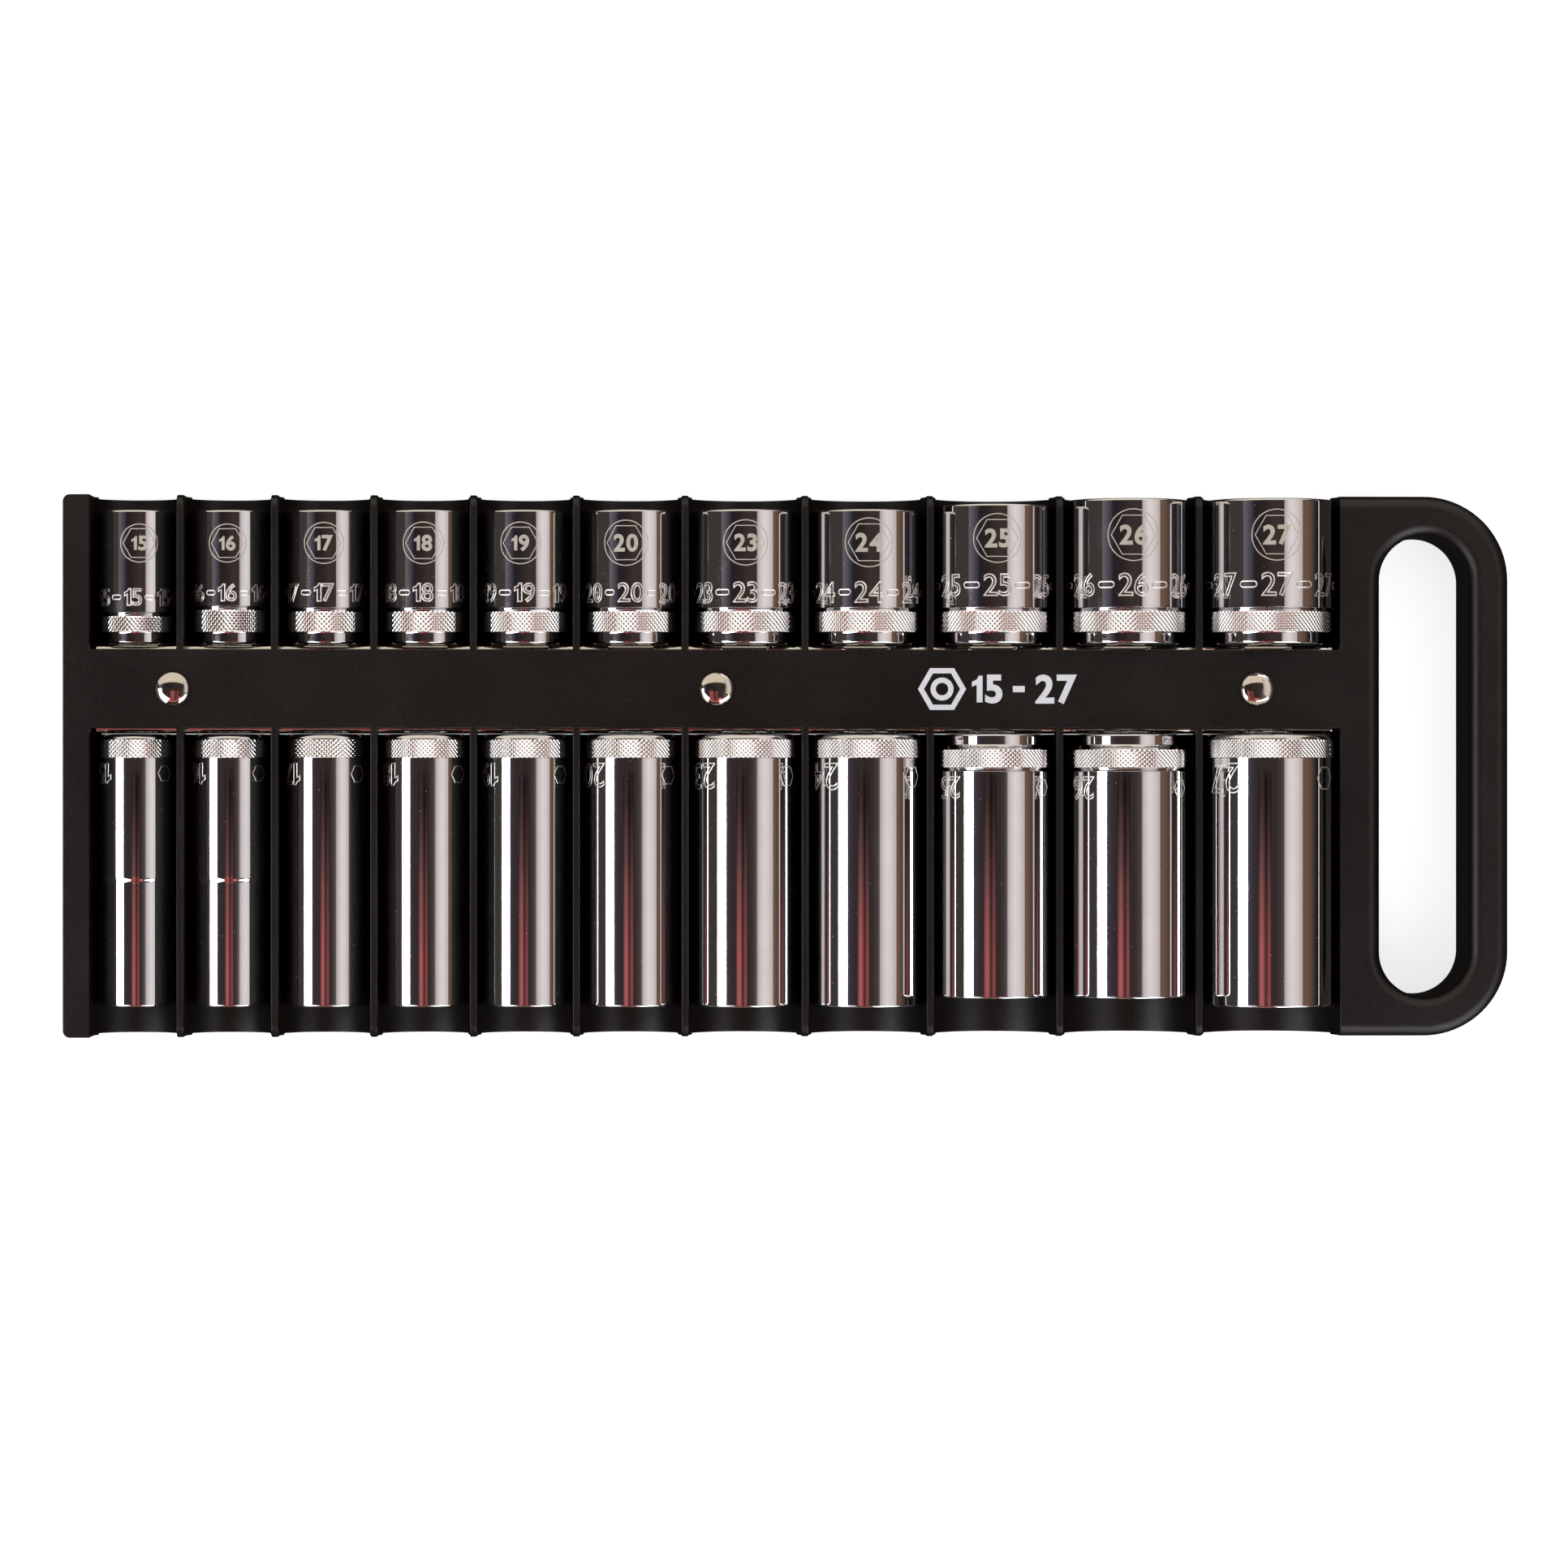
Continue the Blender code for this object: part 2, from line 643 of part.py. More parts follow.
def main():
    clear_scene()
    parts = collection("socket_rail")
    cutters = collection("cutters")
    plastic = material("black_plastic", (0.016, 0.014, 0.014), 0.55, 0.0)
    chrome = material("polished_chrome", (0.78, 0.77, 0.76), 0.08, 1.0)
    steel = material("nickel_steel", (0.62, 0.60, 0.57), 0.22, 1.0)
    ferrite = material("ferrite", (0.05, 0.05, 0.055), 0.6, 0.1)
    pieces = [
        tray(parts, cutters, plastic),
        pole_bar("pole_bar_back", 1, steel, parts),
        pole_bar("pole_bar_front", -1, steel, parts),
        base_strip(plastic, parts, cutters),
        *magnets(ferrite, parts),
        *rivets(steel, parts),
    ]
    for (size, diameter, _, short_length, deep_length), (_, x, _) in zip(SOCKETS, troughs()):
        for kind, length in (("short", short_length), ("deep", deep_length)):
            pieces.append(socket(kind, size, diameter, length, x, parts, cutters, chrome))
    hide_cutters(cutters)
    rail = bpy.data.objects.new("rail", None)
    parts.objects.link(rail)
    for piece in pieces:
        piece.parent = rail
    bpy.context.view_layer.update()


main()
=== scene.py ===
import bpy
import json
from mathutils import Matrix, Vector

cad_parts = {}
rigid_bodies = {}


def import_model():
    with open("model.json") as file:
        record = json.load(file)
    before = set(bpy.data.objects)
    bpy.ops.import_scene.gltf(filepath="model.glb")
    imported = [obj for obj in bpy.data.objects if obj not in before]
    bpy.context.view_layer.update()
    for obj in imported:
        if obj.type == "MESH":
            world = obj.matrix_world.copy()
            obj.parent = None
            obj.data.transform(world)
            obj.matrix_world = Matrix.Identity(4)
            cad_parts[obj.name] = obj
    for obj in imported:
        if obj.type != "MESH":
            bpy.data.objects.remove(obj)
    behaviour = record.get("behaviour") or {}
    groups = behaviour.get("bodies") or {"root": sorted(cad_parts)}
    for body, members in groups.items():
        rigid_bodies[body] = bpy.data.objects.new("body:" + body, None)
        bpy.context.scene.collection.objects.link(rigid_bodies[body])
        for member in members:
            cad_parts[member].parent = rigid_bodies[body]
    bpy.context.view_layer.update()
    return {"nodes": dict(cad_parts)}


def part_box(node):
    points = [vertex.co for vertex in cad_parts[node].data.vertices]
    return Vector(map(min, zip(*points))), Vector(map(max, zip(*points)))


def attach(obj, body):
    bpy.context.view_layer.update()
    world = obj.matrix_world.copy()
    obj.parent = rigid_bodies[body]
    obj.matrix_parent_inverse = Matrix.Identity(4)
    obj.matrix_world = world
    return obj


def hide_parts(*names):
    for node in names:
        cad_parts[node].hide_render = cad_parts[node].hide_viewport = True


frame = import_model()

# %% [markdown]
# ## Reading sizes from the model
#
# Each node of the model knows its own corners, so most sizes can be measured instead
# of typed twice. Only what a box cannot tell is written here as a real size, such as
# the play that each socket has in its trough.
#
# %% Measure the rail and its sockets
import math
import json

import bmesh
import bpy
import numpy as np
from mathutils import Matrix, Vector

SCENE = bpy.context.scene
MM = 0.001
GAP = 0.3 * MM
PLAY_MM = {
    15: 1.40, 16: 1.25, 17: 1.10, 18: 0.65, 19: 0.65, 20: 0.70,
    23: 0.85, 24: 0.85, 25: 0.65, 26: 1.30, 27: 1.25,
}
SIZES = tuple(PLAY_MM)
ROWS = {"short": 1, "deep": -1}

tray_low, tray_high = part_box("tray")
RAIL_HEIGHT = tray_high.z
RAIL_BACK = tray_high.y
bar_low, bar_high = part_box("pole_bar_front")
POLE_FRONT, STEEL_TOP = bar_low.y, bar_high.z
POLE_LEFT, POLE_RIGHT = bar_low.x, bar_high.x
POLE_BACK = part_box("pole_bar_back")[1].y
SPINE_Y = (POLE_BACK + POLE_FRONT) / 2
print("rail height", round(RAIL_HEIGHT / MM, 2), "spine centre line Y", round(SPINE_Y / MM, 2))


def socket_place(row, size):
    """A socket's axis in X and Z, its radius, where its drive end is in Y, and its length."""
    low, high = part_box(f"{row}_socket_{size}")
    return {
        "x": (low.x + high.x) / 2,
        "z": (low.z + high.z) / 2,
        "radius": (high.z - low.z) / 2,
        "drive_y": low.y if ROWS[row] > 0 else high.y,
        "length": high.y - low.y,
        "outward": ROWS[row],
    }


def trough(size):
    """A trough's centre line in X, and half its width."""
    place = socket_place("short", size)
    return place["x"], place["radius"] + PLAY_MM[size] * MM


for size in (SIZES[0], SIZES[-1]):
    print(size, {k: round(v / MM, 2) for k, v in socket_place("deep", size).items() if k != "outward"})

# %% [markdown]
# ## Small helpers
#
# Every new piece has to ride on a body of the model, so that it moves when the joint
# moves, and names the finish it takes. One helper does both and links the object.
# Others turn points and faces into a mesh whose faces all look outward.
#
# %% Helpers for pieces and meshes
def linked(name, data, home=SCENE.collection):
    """A new object in a collection."""
    made = bpy.data.objects.new(name, data)
    home.objects.link(made)
    return made


def piece_from(name, mesh, body, material, replaced=()):
    """Links a mesh as a piece that rides on a body and may stand for nodes of the model."""
    made = linked(name, mesh)
    mesh.materials.clear()
    mesh.materials.append(material)
    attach(made, body)
    if replaced:
        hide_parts(*replaced)
    return made


def shade(mesh, angle):
    """Smooth shading that keeps edges sharper than an angle in degrees."""
    mesh.shade_smooth()
    mesh.set_sharp_from_angle(angle=math.radians(angle))


def opened(*meshes):
    """One editable body made from some meshes."""
    body = bmesh.new()
    for mesh in meshes:
        body.from_mesh(mesh)
    return body


def stored(body, mesh):
    """Turns a body's faces outward and stores it in a mesh."""
    bmesh.ops.recalc_face_normals(body, faces=body.faces)
    body.to_mesh(mesh)
    body.free()
    return mesh


def band(first, second, count):
    """Quads that knit two closed rings of points, each given by its first index."""
    pairs = [(k, (k + 1) % count) for k in range(count)]
    return [[first + k, first + n, second + n, second + k] for k, n in pairs]


def closed_mesh(name, points, faces, angle):
    """A closed mesh from points and faces, shaded smooth up to an angle in degrees."""
    mesh = bpy.data.meshes.new(name)
    mesh.from_pydata(points, [], faces)
    stored(opened(mesh), mesh)
    shade(mesh, angle)
    return mesh


def arc(centre, radius, first, last, steps):
    """Points along an arc, angles in degrees."""
    turns = [math.radians(first + (last - first) * k / steps) for k in range(steps + 1)]
    return [(centre[0] + radius * math.cos(t), centre[1] + radius * math.sin(t)) for t in turns]


# %% [markdown]
# ## Black plastic
#
# The tray is black moulded plastic with a fine eroded texture: from near it sparkles,
# because every tiny bump catches the lamps at another angle. A flat black would look
# like a hole in the picture. Noise in the piece's own coordinates drives a small bump,
# and where it peaks it paints pale flecks into the colour: painted glints for the
# sparkle. Slower noise varies the black and the gloss a little, as handling does.
# Short helpers add the nodes, so that each finish below reads as a recipe.
#
# %% Helpers that add textures
def new_material(name):
    made = bpy.data.materials.new(name)
    made.use_nodes = True
    nodes = made.node_tree.nodes
    return made, nodes, nodes["Principled BSDF"]


def join(source, target):
    """Links an output to an input of the same node tree."""
    target.id_data.links.new(source, target)


def texture(nodes, kind, grain):
    """A texture in the piece's own coordinates, whose blobs are about one grain across."""
    place, made = nodes.new("ShaderNodeTexCoord"), nodes.new(f"ShaderNodeTex{kind}")
    join(place.outputs["Object"], made.inputs["Vector"])
    made.inputs["Scale"].default_value = 1.0 / grain
    return made


def noise(nodes, grain, detail=2.0, roughness=0.5):
    made = texture(nodes, "Noise", grain)
    made.inputs["Detail"].default_value = detail
    made.inputs["Roughness"].default_value = roughness
    return made.outputs["Fac"]


# %% Helpers that change and mix values
def spread(source, low, high, start=0.3, end=0.7):
    """Maps a value from start..end to low..high."""
    made = source.id_data.nodes.new("ShaderNodeMapRange")
    join(source, made.inputs["Value"])
    for name, value in zip(("From Min", "From Max", "To Min", "To Max"), (start, end, low, high)):
        made.inputs[name].default_value = value
    return made.outputs["Result"]


def larger(first, second):
    """The larger of two values."""
    made = first.id_data.nodes.new("ShaderNodeMath")
    made.operation = "MAXIMUM"
    join(first, made.inputs[0])
    join(second, made.inputs[1])
    return made.outputs["Value"]


def blend(share, first, second):
    """Mixes two colours by a share from 0 to 1. Each is three numbers or a node's output."""
    made = share.id_data.nodes.new("ShaderNodeMix")
    made.data_type = "RGBA"
    join(share, made.inputs["Factor"])
    for name, colour in (("A", first), ("B", second)):
        if isinstance(colour, tuple):
            made.inputs[name].default_value = (*colour, 1.0)
        else:
            join(colour, made.inputs[name])
    return made.outputs["Result"]


def bumps(shader, height, depth, strength=1.0):
    """Tilts a shader's surface as bumps of a real depth would."""
    made = shader.id_data.nodes.new("ShaderNodeBump")
    made.inputs["Strength"].default_value = strength
    made.inputs["Distance"].default_value = depth
    join(height, made.inputs["Height"])
    join(made.outputs["Normal"], shader.inputs["Normal"])


# %% Black plastic
GRAIN, GRAIN_DEPTH = 0.21 * MM, 0.05 * MM
BLACKEST, BROWNISH_BLACK = (0.0036, 0.0023, 0.0021), (0.0056, 0.0038, 0.0035)
# Painted glints: a pale colour put in where the grain noise peaks, standing in for lamps sparkling on tiny
# bumps.
PAINTED_GLINT, GLINTS_FROM, GLINTS_TO = (0.075, 0.058, 0.052), 0.66, 0.85


def black_plastic():
    made, nodes, shader = new_material("black_plastic")
    grain, clumps, wear = noise(nodes, GRAIN, 1.0, 0.6), noise(nodes, 1.3 * MM), noise(nodes, 30 * MM)
    ground = blend(spread(clumps, 0.0, 1.0), BLACKEST, BROWNISH_BLACK)
    # Painted highlight: pale specks mixed into the base colour where the grain peaks.
    painted_glints = spread(grain, 0.0, 1.0, GLINTS_FROM, GLINTS_TO)
    join(blend(painted_glints, ground, PAINTED_GLINT), shader.inputs["Base Color"])
    join(spread(wear, 0.30, 0.38), shader.inputs["Roughness"])
    bumps(shader, grain, GRAIN_DEPTH)
    return made


PLASTIC = black_plastic()
print("made", PLASTIC.name)

# %% [markdown]
# ## The tray
#
# The tray is one injection moulding: a rounded block with half round troughs, thin
# ribs between them, a flat spine, and a handle with a hand hole. Its underside is
# cored out, as mouldings are, so that no wall is thick. It could be modelled face by
# face, but a moulding is easiest to think of as solid plastic with shapes taken away,
# so outlines are thickened into tools and subtracted. Curves have many steps, because
# a smooth round is what the eye checks first.
#
# %% Outlines that become solids
workshop = bpy.data.collections.new("workshop")
SCENE.collection.children.link(workshop)
OVERCUT = 2.0 * MM


def group(name):
    made = bpy.data.collections.new(name)
    workshop.children.link(made)
    return made


def baked(source):
    """What an object's modifiers and curve make of it, as one welded mesh in world places."""
    bpy.context.view_layer.update()
    graph = bpy.context.evaluated_depsgraph_get()
    mesh = bpy.data.meshes.new_from_object(source.evaluated_get(graph))
    mesh.transform(source.matrix_world)
    body = opened(mesh)
    bmesh.ops.remove_doubles(body, verts=body.verts, dist=1e-6)
    return stored(body, mesh)


def drawn_mesh(name, curve, height=0.0):
    """The mesh that a curve or a row of letters makes at a height."""
    drawn = linked(name, curve)
    drawn.location.z = height
    mesh = baked(drawn)
    bpy.data.objects.remove(drawn, do_unlink=True)
    return mesh


def outline_mesh(name, loops, low, high, edge_round=0.0):
    """A flat outline with holes, solid from one height to another, with rounded rims."""
    curve = bpy.data.curves.new(name, "CURVE")
    curve.dimensions = "2D"
    curve.fill_mode = "BOTH"
    curve.extrude = (high - low) / 2 - edge_round
    curve.bevel_depth = edge_round
    curve.bevel_resolution = 6
    for loop in loops:
        spline = curve.splines.new("POLY")
        spline.points.add(len(loop) - 1)
        for point, (x, y) in zip(spline.points, loop):
            point.co = (x, y, 0.0, 1.0)
        spline.use_cyclic_u = True
    return drawn_mesh(name, curve, (low + high) / 2)


def solid_outline(name, *shape, home=workshop):
    """Such an outline as an object, to be joined to another or cut from it."""
    return linked(name, outline_mesh(name, *shape), home)


# %% Blocks, and taking one shape from another
def block(name, low, high, home=workshop):
    """An upright block between two opposite corners."""
    low, high = Vector(low), Vector(high)
    body = bmesh.new()
    bmesh.ops.create_cube(body, size=1.0)
    bmesh.ops.scale(body, vec=high - low, verts=body.verts)
    bmesh.ops.translate(body, vec=(low + high) / 2, verts=body.verts)
    return linked(name, stored(body, bpy.data.meshes.new(name)), home)


def combine(piece, tool, operation="DIFFERENCE"):
    """Takes away, or adds, one object or every object of a collection."""
    step = piece.modifiers.new("combine", "BOOLEAN")
    step.operation = operation
    if isinstance(tool, bpy.types.Collection):
        step.operand_type = "COLLECTION"
        step.collection = tool
    else:
        step.object = tool


tools_for_tray = []


# %% The rounded block, the end plate and the hand hole
CORNER_STEPS = 20
END_PLATE, END_PLATE_CORNER, END_PLATE_EDGE = 7.4 * MM, 2.0 * MM, 0.4 * MM
EDGE_ROUND = 3.5 * MM
PALM_PLATE, HAND_HOLE_WIDTH, HANDLE_BAR = 11.6 * MM, 25.6 * MM, 11.2 * MM
BLOCK_BACK = RAIL_BACK - 0.02 * MM
CELLS_LEFT = tray_low.x + END_PLATE
CELLS_RIGHT = tray_high.x - HANDLE_BAR - HAND_HOLE_WIDTH - PALM_PLATE
HOLE_LEFT = CELLS_RIGHT + PALM_PLATE


def hand_hole(grow):
    """The hand hole, larger all round by grow, wound against the outer outline."""
    radius = HAND_HOLE_WIDTH / 2
    x, y = HOLE_LEFT + radius, BLOCK_BACK - HANDLE_BAR - radius
    ends = arc((x, y), radius + grow, 0, 180, 2 * CORNER_STEPS)
    ends += arc((x, -y), radius + grow, 180, 360, 2 * CORNER_STEPS)
    return ends[::-1]


def handle_outline(left, inset):
    """From a left edge round the handle's two corners, drawn in by inset."""
    bend = HANDLE_BAR + HAND_HOLE_WIDTH / 2 - inset
    right, back = tray_high.x - inset, BLOCK_BACK - inset
    points = [(left, -back)]
    points += arc((right - bend, bend - back), bend, 270, 360, CORNER_STEPS)
    points += arc((right - bend, back - bend), bend, 0, 90, CORNER_STEPS)
    return [*points, (left, back)]


def end_plate_outline():
    bend = END_PLATE_CORNER - END_PLATE_EDGE
    left, right = tray_low.x + END_PLATE_EDGE, CELLS_LEFT - END_PLATE_EDGE
    back = RAIL_BACK - END_PLATE_EDGE
    points = [(right, -back), (right, back)]
    points += arc((left + bend, back - bend), bend, 90, 180, CORNER_STEPS // 2)
    points += arc((left + bend, bend - back), bend, 180, 270, CORNER_STEPS // 2)
    return points


below = -EDGE_ROUND - OVERCUT
outline = handle_outline(tray_low.x + END_PLATE_CORNER + EDGE_ROUND, EDGE_ROUND)
tray = solid_outline("tray_shape", [outline, hand_hole(EDGE_ROUND)], below, RAIL_HEIGHT, EDGE_ROUND)
plate = solid_outline("end_plate", [end_plate_outline()], below, RAIL_HEIGHT, END_PLATE_EDGE)
tools_for_tray.append((plate, "UNION"))
print("rounded block:", len(tray.data.polygons), "faces, end plate:", len(plate.data.polygons))

# %% The troughs, and the clean ends that let each rib stand a little proud
TROUGH_STEPS = 44
FLOOR, SHELL = 2.5 * MM, 3.3 * MM
COVER_HALF = (POLE_BACK - POLE_FRONT) / 2 - 1.3 * MM
RIB_PROUD, RIB_FOOT = 0.5 * MM, 0.8 * MM
hollows, shells, trims = group("hollows"), group("shells"), group("trims")


def u_section(middle, half_width, centre_height, top):
    """A trough's section in X and Z: a half round floor between upright sides."""
    floor = arc((middle, centre_height), half_width, 180, 360, TROUGH_STEPS)
    return [(middle - half_width, top), *floor, (middle + half_width, top)]


def along_y(name, section, low, high, home):
    """A section drawn in X and Z, solid from one Y to another."""
    made = solid_outline(name, [section], -high, -low, home=home)
    made.data.transform(Matrix.Rotation(math.pi / 2, 4, "X"))
    return made


def recess_top(half_width):
    """The height where a rib's foot is thick enough to carry the step at its end."""
    facet = math.pi / TROUGH_STEPS
    facets_up = math.ceil(math.acos(1 - RIB_FOOT / half_width) / facet)
    return FLOOR + half_width * (1 - math.sin(facet * (facets_up + 0.5)))


for size in SIZES:
    middle, half = trough(size)
    for row, outward in ROWS.items():
        inner, outer = SPINE_Y + outward * COVER_HALF, outward * (RAIL_BACK + OVERCUT)
        low, high = sorted((inner, outer))
        section = u_section(middle, half, FLOOR + half, RAIL_HEIGHT + OVERCUT)
        along_y(f"{row}_hollow_{size}", section, low, high, hollows)
        section = u_section(middle, half + SHELL, FLOOR + half, RAIL_HEIGHT + OVERCUT)
        along_y(f"{row}_shell_{size}", section, low - OVERCUT, high + OVERCUT, shells)
        low, high = sorted((outward * (RAIL_BACK - RIB_PROUD), outer))
        top = recess_top(half)
        block(f"{row}_trim_{size}", (middle - half, low, -OVERCUT), (middle + half, high, top), trims)
tools_for_tray += [(hollows, "DIFFERENCE"), (trims, "DIFFERENCE")]

# %% The cored underside, the slot for the steel bars and the rivet holes
SKIRT, SPINE_WALL, HANDLE_WALL = 2.5 * MM, 2.0 * MM, 2.8 * MM
COVER_SKIN, COVER_SIDE = 3.0 * MM, 2.8 * MM
BOSS, RIVET_HOLE = 11.0 * MM, 5.4 * MM
RIVETS = ("rivet_1", "rivet_2", "rivet_3")
strip_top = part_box("base_strip")[1].z
rivet_xs = [(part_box(name)[0].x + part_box(name)[1].x) / 2 for name in RIVETS]


def ring_points(x, y, radius, sides=48):
    return arc((x, y), radius, 0, 360 - 360 / sides, sides - 1)


core_top = RAIL_HEIGHT - COVER_SKIN
bosses, holes = group("bosses"), group("rivet_holes")
for x in rivet_xs:
    solid_outline("boss", [ring_points(x, SPINE_Y, BOSS / 2)], strip_top + GAP, 2 * RAIL_HEIGHT, home=bosses)
    solid_outline("hole", [ring_points(x, SPINE_Y, RIVET_HOLE / 2)], -OVERCUT, 2 * RAIL_HEIGHT, home=holes)
spans = (
    (POLE_BACK + GAP + SPINE_WALL, RAIL_BACK - RIB_PROUD - SKIRT),
    (SKIRT + RIB_PROUD - RAIL_BACK, POLE_FRONT - GAP - SPINE_WALL),
)
core_left, core_right = tray_low.x + SKIRT, CELLS_RIGHT + FLOOR / 2
cores = [block("core", (core_left, low, -2 * OVERCUT), (core_right, high, core_top)) for low, high in spans]
handle_loops = [handle_outline(CELLS_RIGHT + HANDLE_WALL, HANDLE_WALL), hand_hole(HANDLE_WALL)]
handle_core = solid_outline("handle_core", handle_loops, -2 * OVERCUT, core_top)
slot = block(
    "bar_slot",
    (POLE_LEFT - GAP, POLE_FRONT - GAP, -2 * OVERCUT),
    (POLE_RIGHT + GAP, POLE_BACK + GAP, STEEL_TOP + GAP),
)
inner = COVER_HALF - COVER_SIDE
cover_hollow = block(
    "cover_hollow",
    (POLE_LEFT + COVER_SIDE, SPINE_Y - inner, STEEL_TOP - OVERCUT),
    (POLE_RIGHT - COVER_SIDE, SPINE_Y + inner, core_top),
)
corner = (2 * tray_low.x, -2 * RAIL_BACK, 4 * below)
under = block("under", corner, (2 * tray_high.x, 2 * RAIL_BACK, 0.0))
for tool in cores:
    combine(tool, shells)
for tool in (slot, cover_hollow):
    combine(tool, bosses)
for tool in (*cores, handle_core, slot, cover_hollow, holes, under):
    tools_for_tray.append((tool, "DIFFERENCE"))
for tool, operation in tools_for_tray:
    combine(tray, tool, operation)
tray_mesh = baked(tray)
print("tray:", len(tray_mesh.polygons), "faces before its edges are rounded")

# %% [markdown]
# ### Rounded rib and cover edges
#
# A mould never leaves a razor edge. A round of a third of a millimetre on the ribs,
# on the spine and on the trough ends gives the thin light lines that draw them in the
# picture. Only edges that stick out are rounded, and the underside stays sharp.
#
# %% Round the edges that show
RIB_ROUND, RIB_ROUND_STEPS = 0.32 * MM, 3
SHARP = math.radians(38)
NEAR = 0.1 * MM


def rounded_tray(mesh):
    body = opened(mesh)
    bmesh.ops.dissolve_limit(body, angle_limit=math.radians(0.3), verts=body.verts, edges=body.edges)
    chosen = []
    for edge in body.edges:
        ends = [v.co for v in edge.verts]
        in_cells = all(CELLS_LEFT + NEAR < p.x < CELLS_RIGHT + NEAR for p in ends)
        on_top = all(p.z > RAIL_HEIGHT - NEAR / 10 for p in ends)
        at_end = all(abs(p.y) > BLOCK_BACK - EDGE_ROUND - NEAR and p.z > FLOOR / 2 for p in ends)
        if not (in_cells and (on_top or at_end)) or len(edge.link_faces) != 2:
            continue
        if edge.is_convex and edge.calc_face_angle() > SHARP:
            chosen.append(edge)
    size = {"offset": RIB_ROUND, "segments": RIB_ROUND_STEPS, "profile": 0.5}
    bmesh.ops.bevel(body, geom=chosen, affect="EDGES", clamp_overlap=False, **size)
    count = len(chosen)
    stored(body, mesh)
    return count


print("rounded", rounded_tray(tray_mesh), "edges")
shade(tray_mesh, angle=32)
for tool in list(workshop.all_objects):
    bpy.data.objects.remove(tool, do_unlink=True)
tray = piece_from("moulded_tray", tray_mesh, "rail", PLASTIC, ["tray"])
flatten = tray.modifiers.new("flat faces shade flat", "WEIGHTED_NORMAL")
flatten.keep_sharp = True

# %% [markdown]
# ## Chrome and nickel
#
# The sockets are steel with a mirror-bright chrome plate, and the rivets and bars have
# a softer, warmer nickel plate. A perfect mirror looks drawn rather than photographed:
# real plating has faint smears, a few dust specks and a very slight waviness, so those
# change the roughness and the surface direction by small amounts.
#
# %% Chrome and nickel
DUST = (0.75, 0.75, 0.78)


def plated(name, bright, dull, low_rough, high_rough, dust):
    """A plated metal: two close colours, a roughness range, and the share of dust specks."""
    made, nodes, shader = new_material(name)
    smear, wave = noise(nodes, 9 * MM, 4.0, 0.6), noise(nodes, 14 * MM, 1.0)
    specks = texture(nodes, "Voronoi", 2.6 * MM).outputs["Distance"]
    dusty = spread(specks, 1.0, 0.0, dust, dust + 0.01)
    tint = blend(spread(smear, 0.0, 1.0), bright, dull)
    join(blend(dusty, tint, DUST), shader.inputs["Base Color"])
    smeared = spread(smear, low_rough, high_rough, 0.4, 0.8)
    join(larger(smeared, spread(dusty, 0.0, 0.7, 0.0, 1.0)), shader.inputs["Roughness"])
    shader.inputs["Metallic"].default_value = 1.0
    bumps(shader, wave, 0.05 * MM, 0.08)
    return made


CHROME = plated("polished_chrome", (0.80, 0.79, 0.79), (0.74, 0.74, 0.76), 0.025, 0.09, 0.030)
NICKEL = plated("bright_nickel", (0.74, 0.69, 0.63), (0.66, 0.61, 0.56), 0.06, 0.16, 0.015)
print("made", CHROME.name, "and", NICKEL.name)

# %% [markdown]
# ## The sockets
#
# A socket is turned and broached: a round outside with a knurled ring, a square drive
# hole at one end, and a hexagon with a lead-in cone at the other. Cutting such holes
# with Boolean tools would leave a tangle of faces. Instead every ring of the socket,
# outside and inside, has the same number of points round the axis, and a rule gives
# the radius for each direction. A hexagon is then only another radius rule, and the
# whole socket is one clean closed net of quads.
#
# %% Radius rules
def polygon_rule(turns, flats, apothem, first_corner):
    """The radius of a regular polygon in each direction, with a corner at first_corner."""
    part = math.tau / flats
    from_flat = (turns - first_corner) % part - part / 2
    return apothem / np.cos(from_flat)


def drive_rule(turns, across, ease):
    """A square hole with flats up, down and sideways, its corners cut by ease."""
    square = polygon_rule(turns, 4, across / 2, math.tau / 8)
    corner_cut = (across / 2) * math.sqrt(2) - ease / math.sqrt(2)
    return np.minimum(square, polygon_rule(turns, 4, corner_cut, 0.0))


def ring(radius, height, turns):
    """One ring of a socket: its radius and its distance from the drive end."""
    return np.stack([np.broadcast_to(radius, turns.shape), np.broadcast_to(height, turns.shape)], axis=1)


# %% The outside of a socket, from the mouth to the drive end
RIM_ROUND, KEEP_STRAIGHT = 0.6 * MM, 0.1 * MM
NECK_RATIO, NECK_LENGTH, NECK_CHAMFER, FLARE_END = 0.84, 3.4 * MM, 0.6 * MM, 4.5 * MM
NECK_FILLET = ((0.08 * MM, 0.12 * MM), (0.0, 0.40 * MM), (0.0, 0.50 * MM))
FLARE_STEP, NECK_STEP, PAST_KNURL = 0.4 * MM, 0.35 * MM, 0.2 * MM
KNURL_RATIO, KNURL_LENGTH, USUAL_KNURL_LENGTH = 0.97, {15: 4.4 * MM, 16: 6.2 * MM}, 5.7 * MM
GROOVE_WIDTH, GROOVE_DEPTH, GROOVE_ROUND, GROOVE_STEPS = 1.0 * MM, 0.9 * MM, 0.3 * MM, 6
DRIVE_CHAMFER, DRIVE_STEP, KNURL_START, PLAIN_KNURL_LENGTH = 1.5 * MM, 0.05 * MM, 1.7 * MM, 5.0 * MM
WAIST_FROM_DRIVE, WAIST_HALF_LENGTH, WAIST_STEPS, NOSE_STEP = 41.5 * MM, 1.0 * MM, 8, 0.25 * MM
NECKED_DEEP, WAISTED_DEEP = (25, 26), (15, 16)


def quarter_round(radius, height, size, steps, rising=False):
    """Radii and heights of an outer rounded corner, towards the drive end."""
    points = []
    for k in range(steps + 1):
        turn = math.pi / 2 * k / steps
        a, b = size * math.sin(turn), size * math.cos(turn)
        out, up = (a, b - size) if rising else (b, size - a)
        points.append((radius - size + out, height + up))
    return points


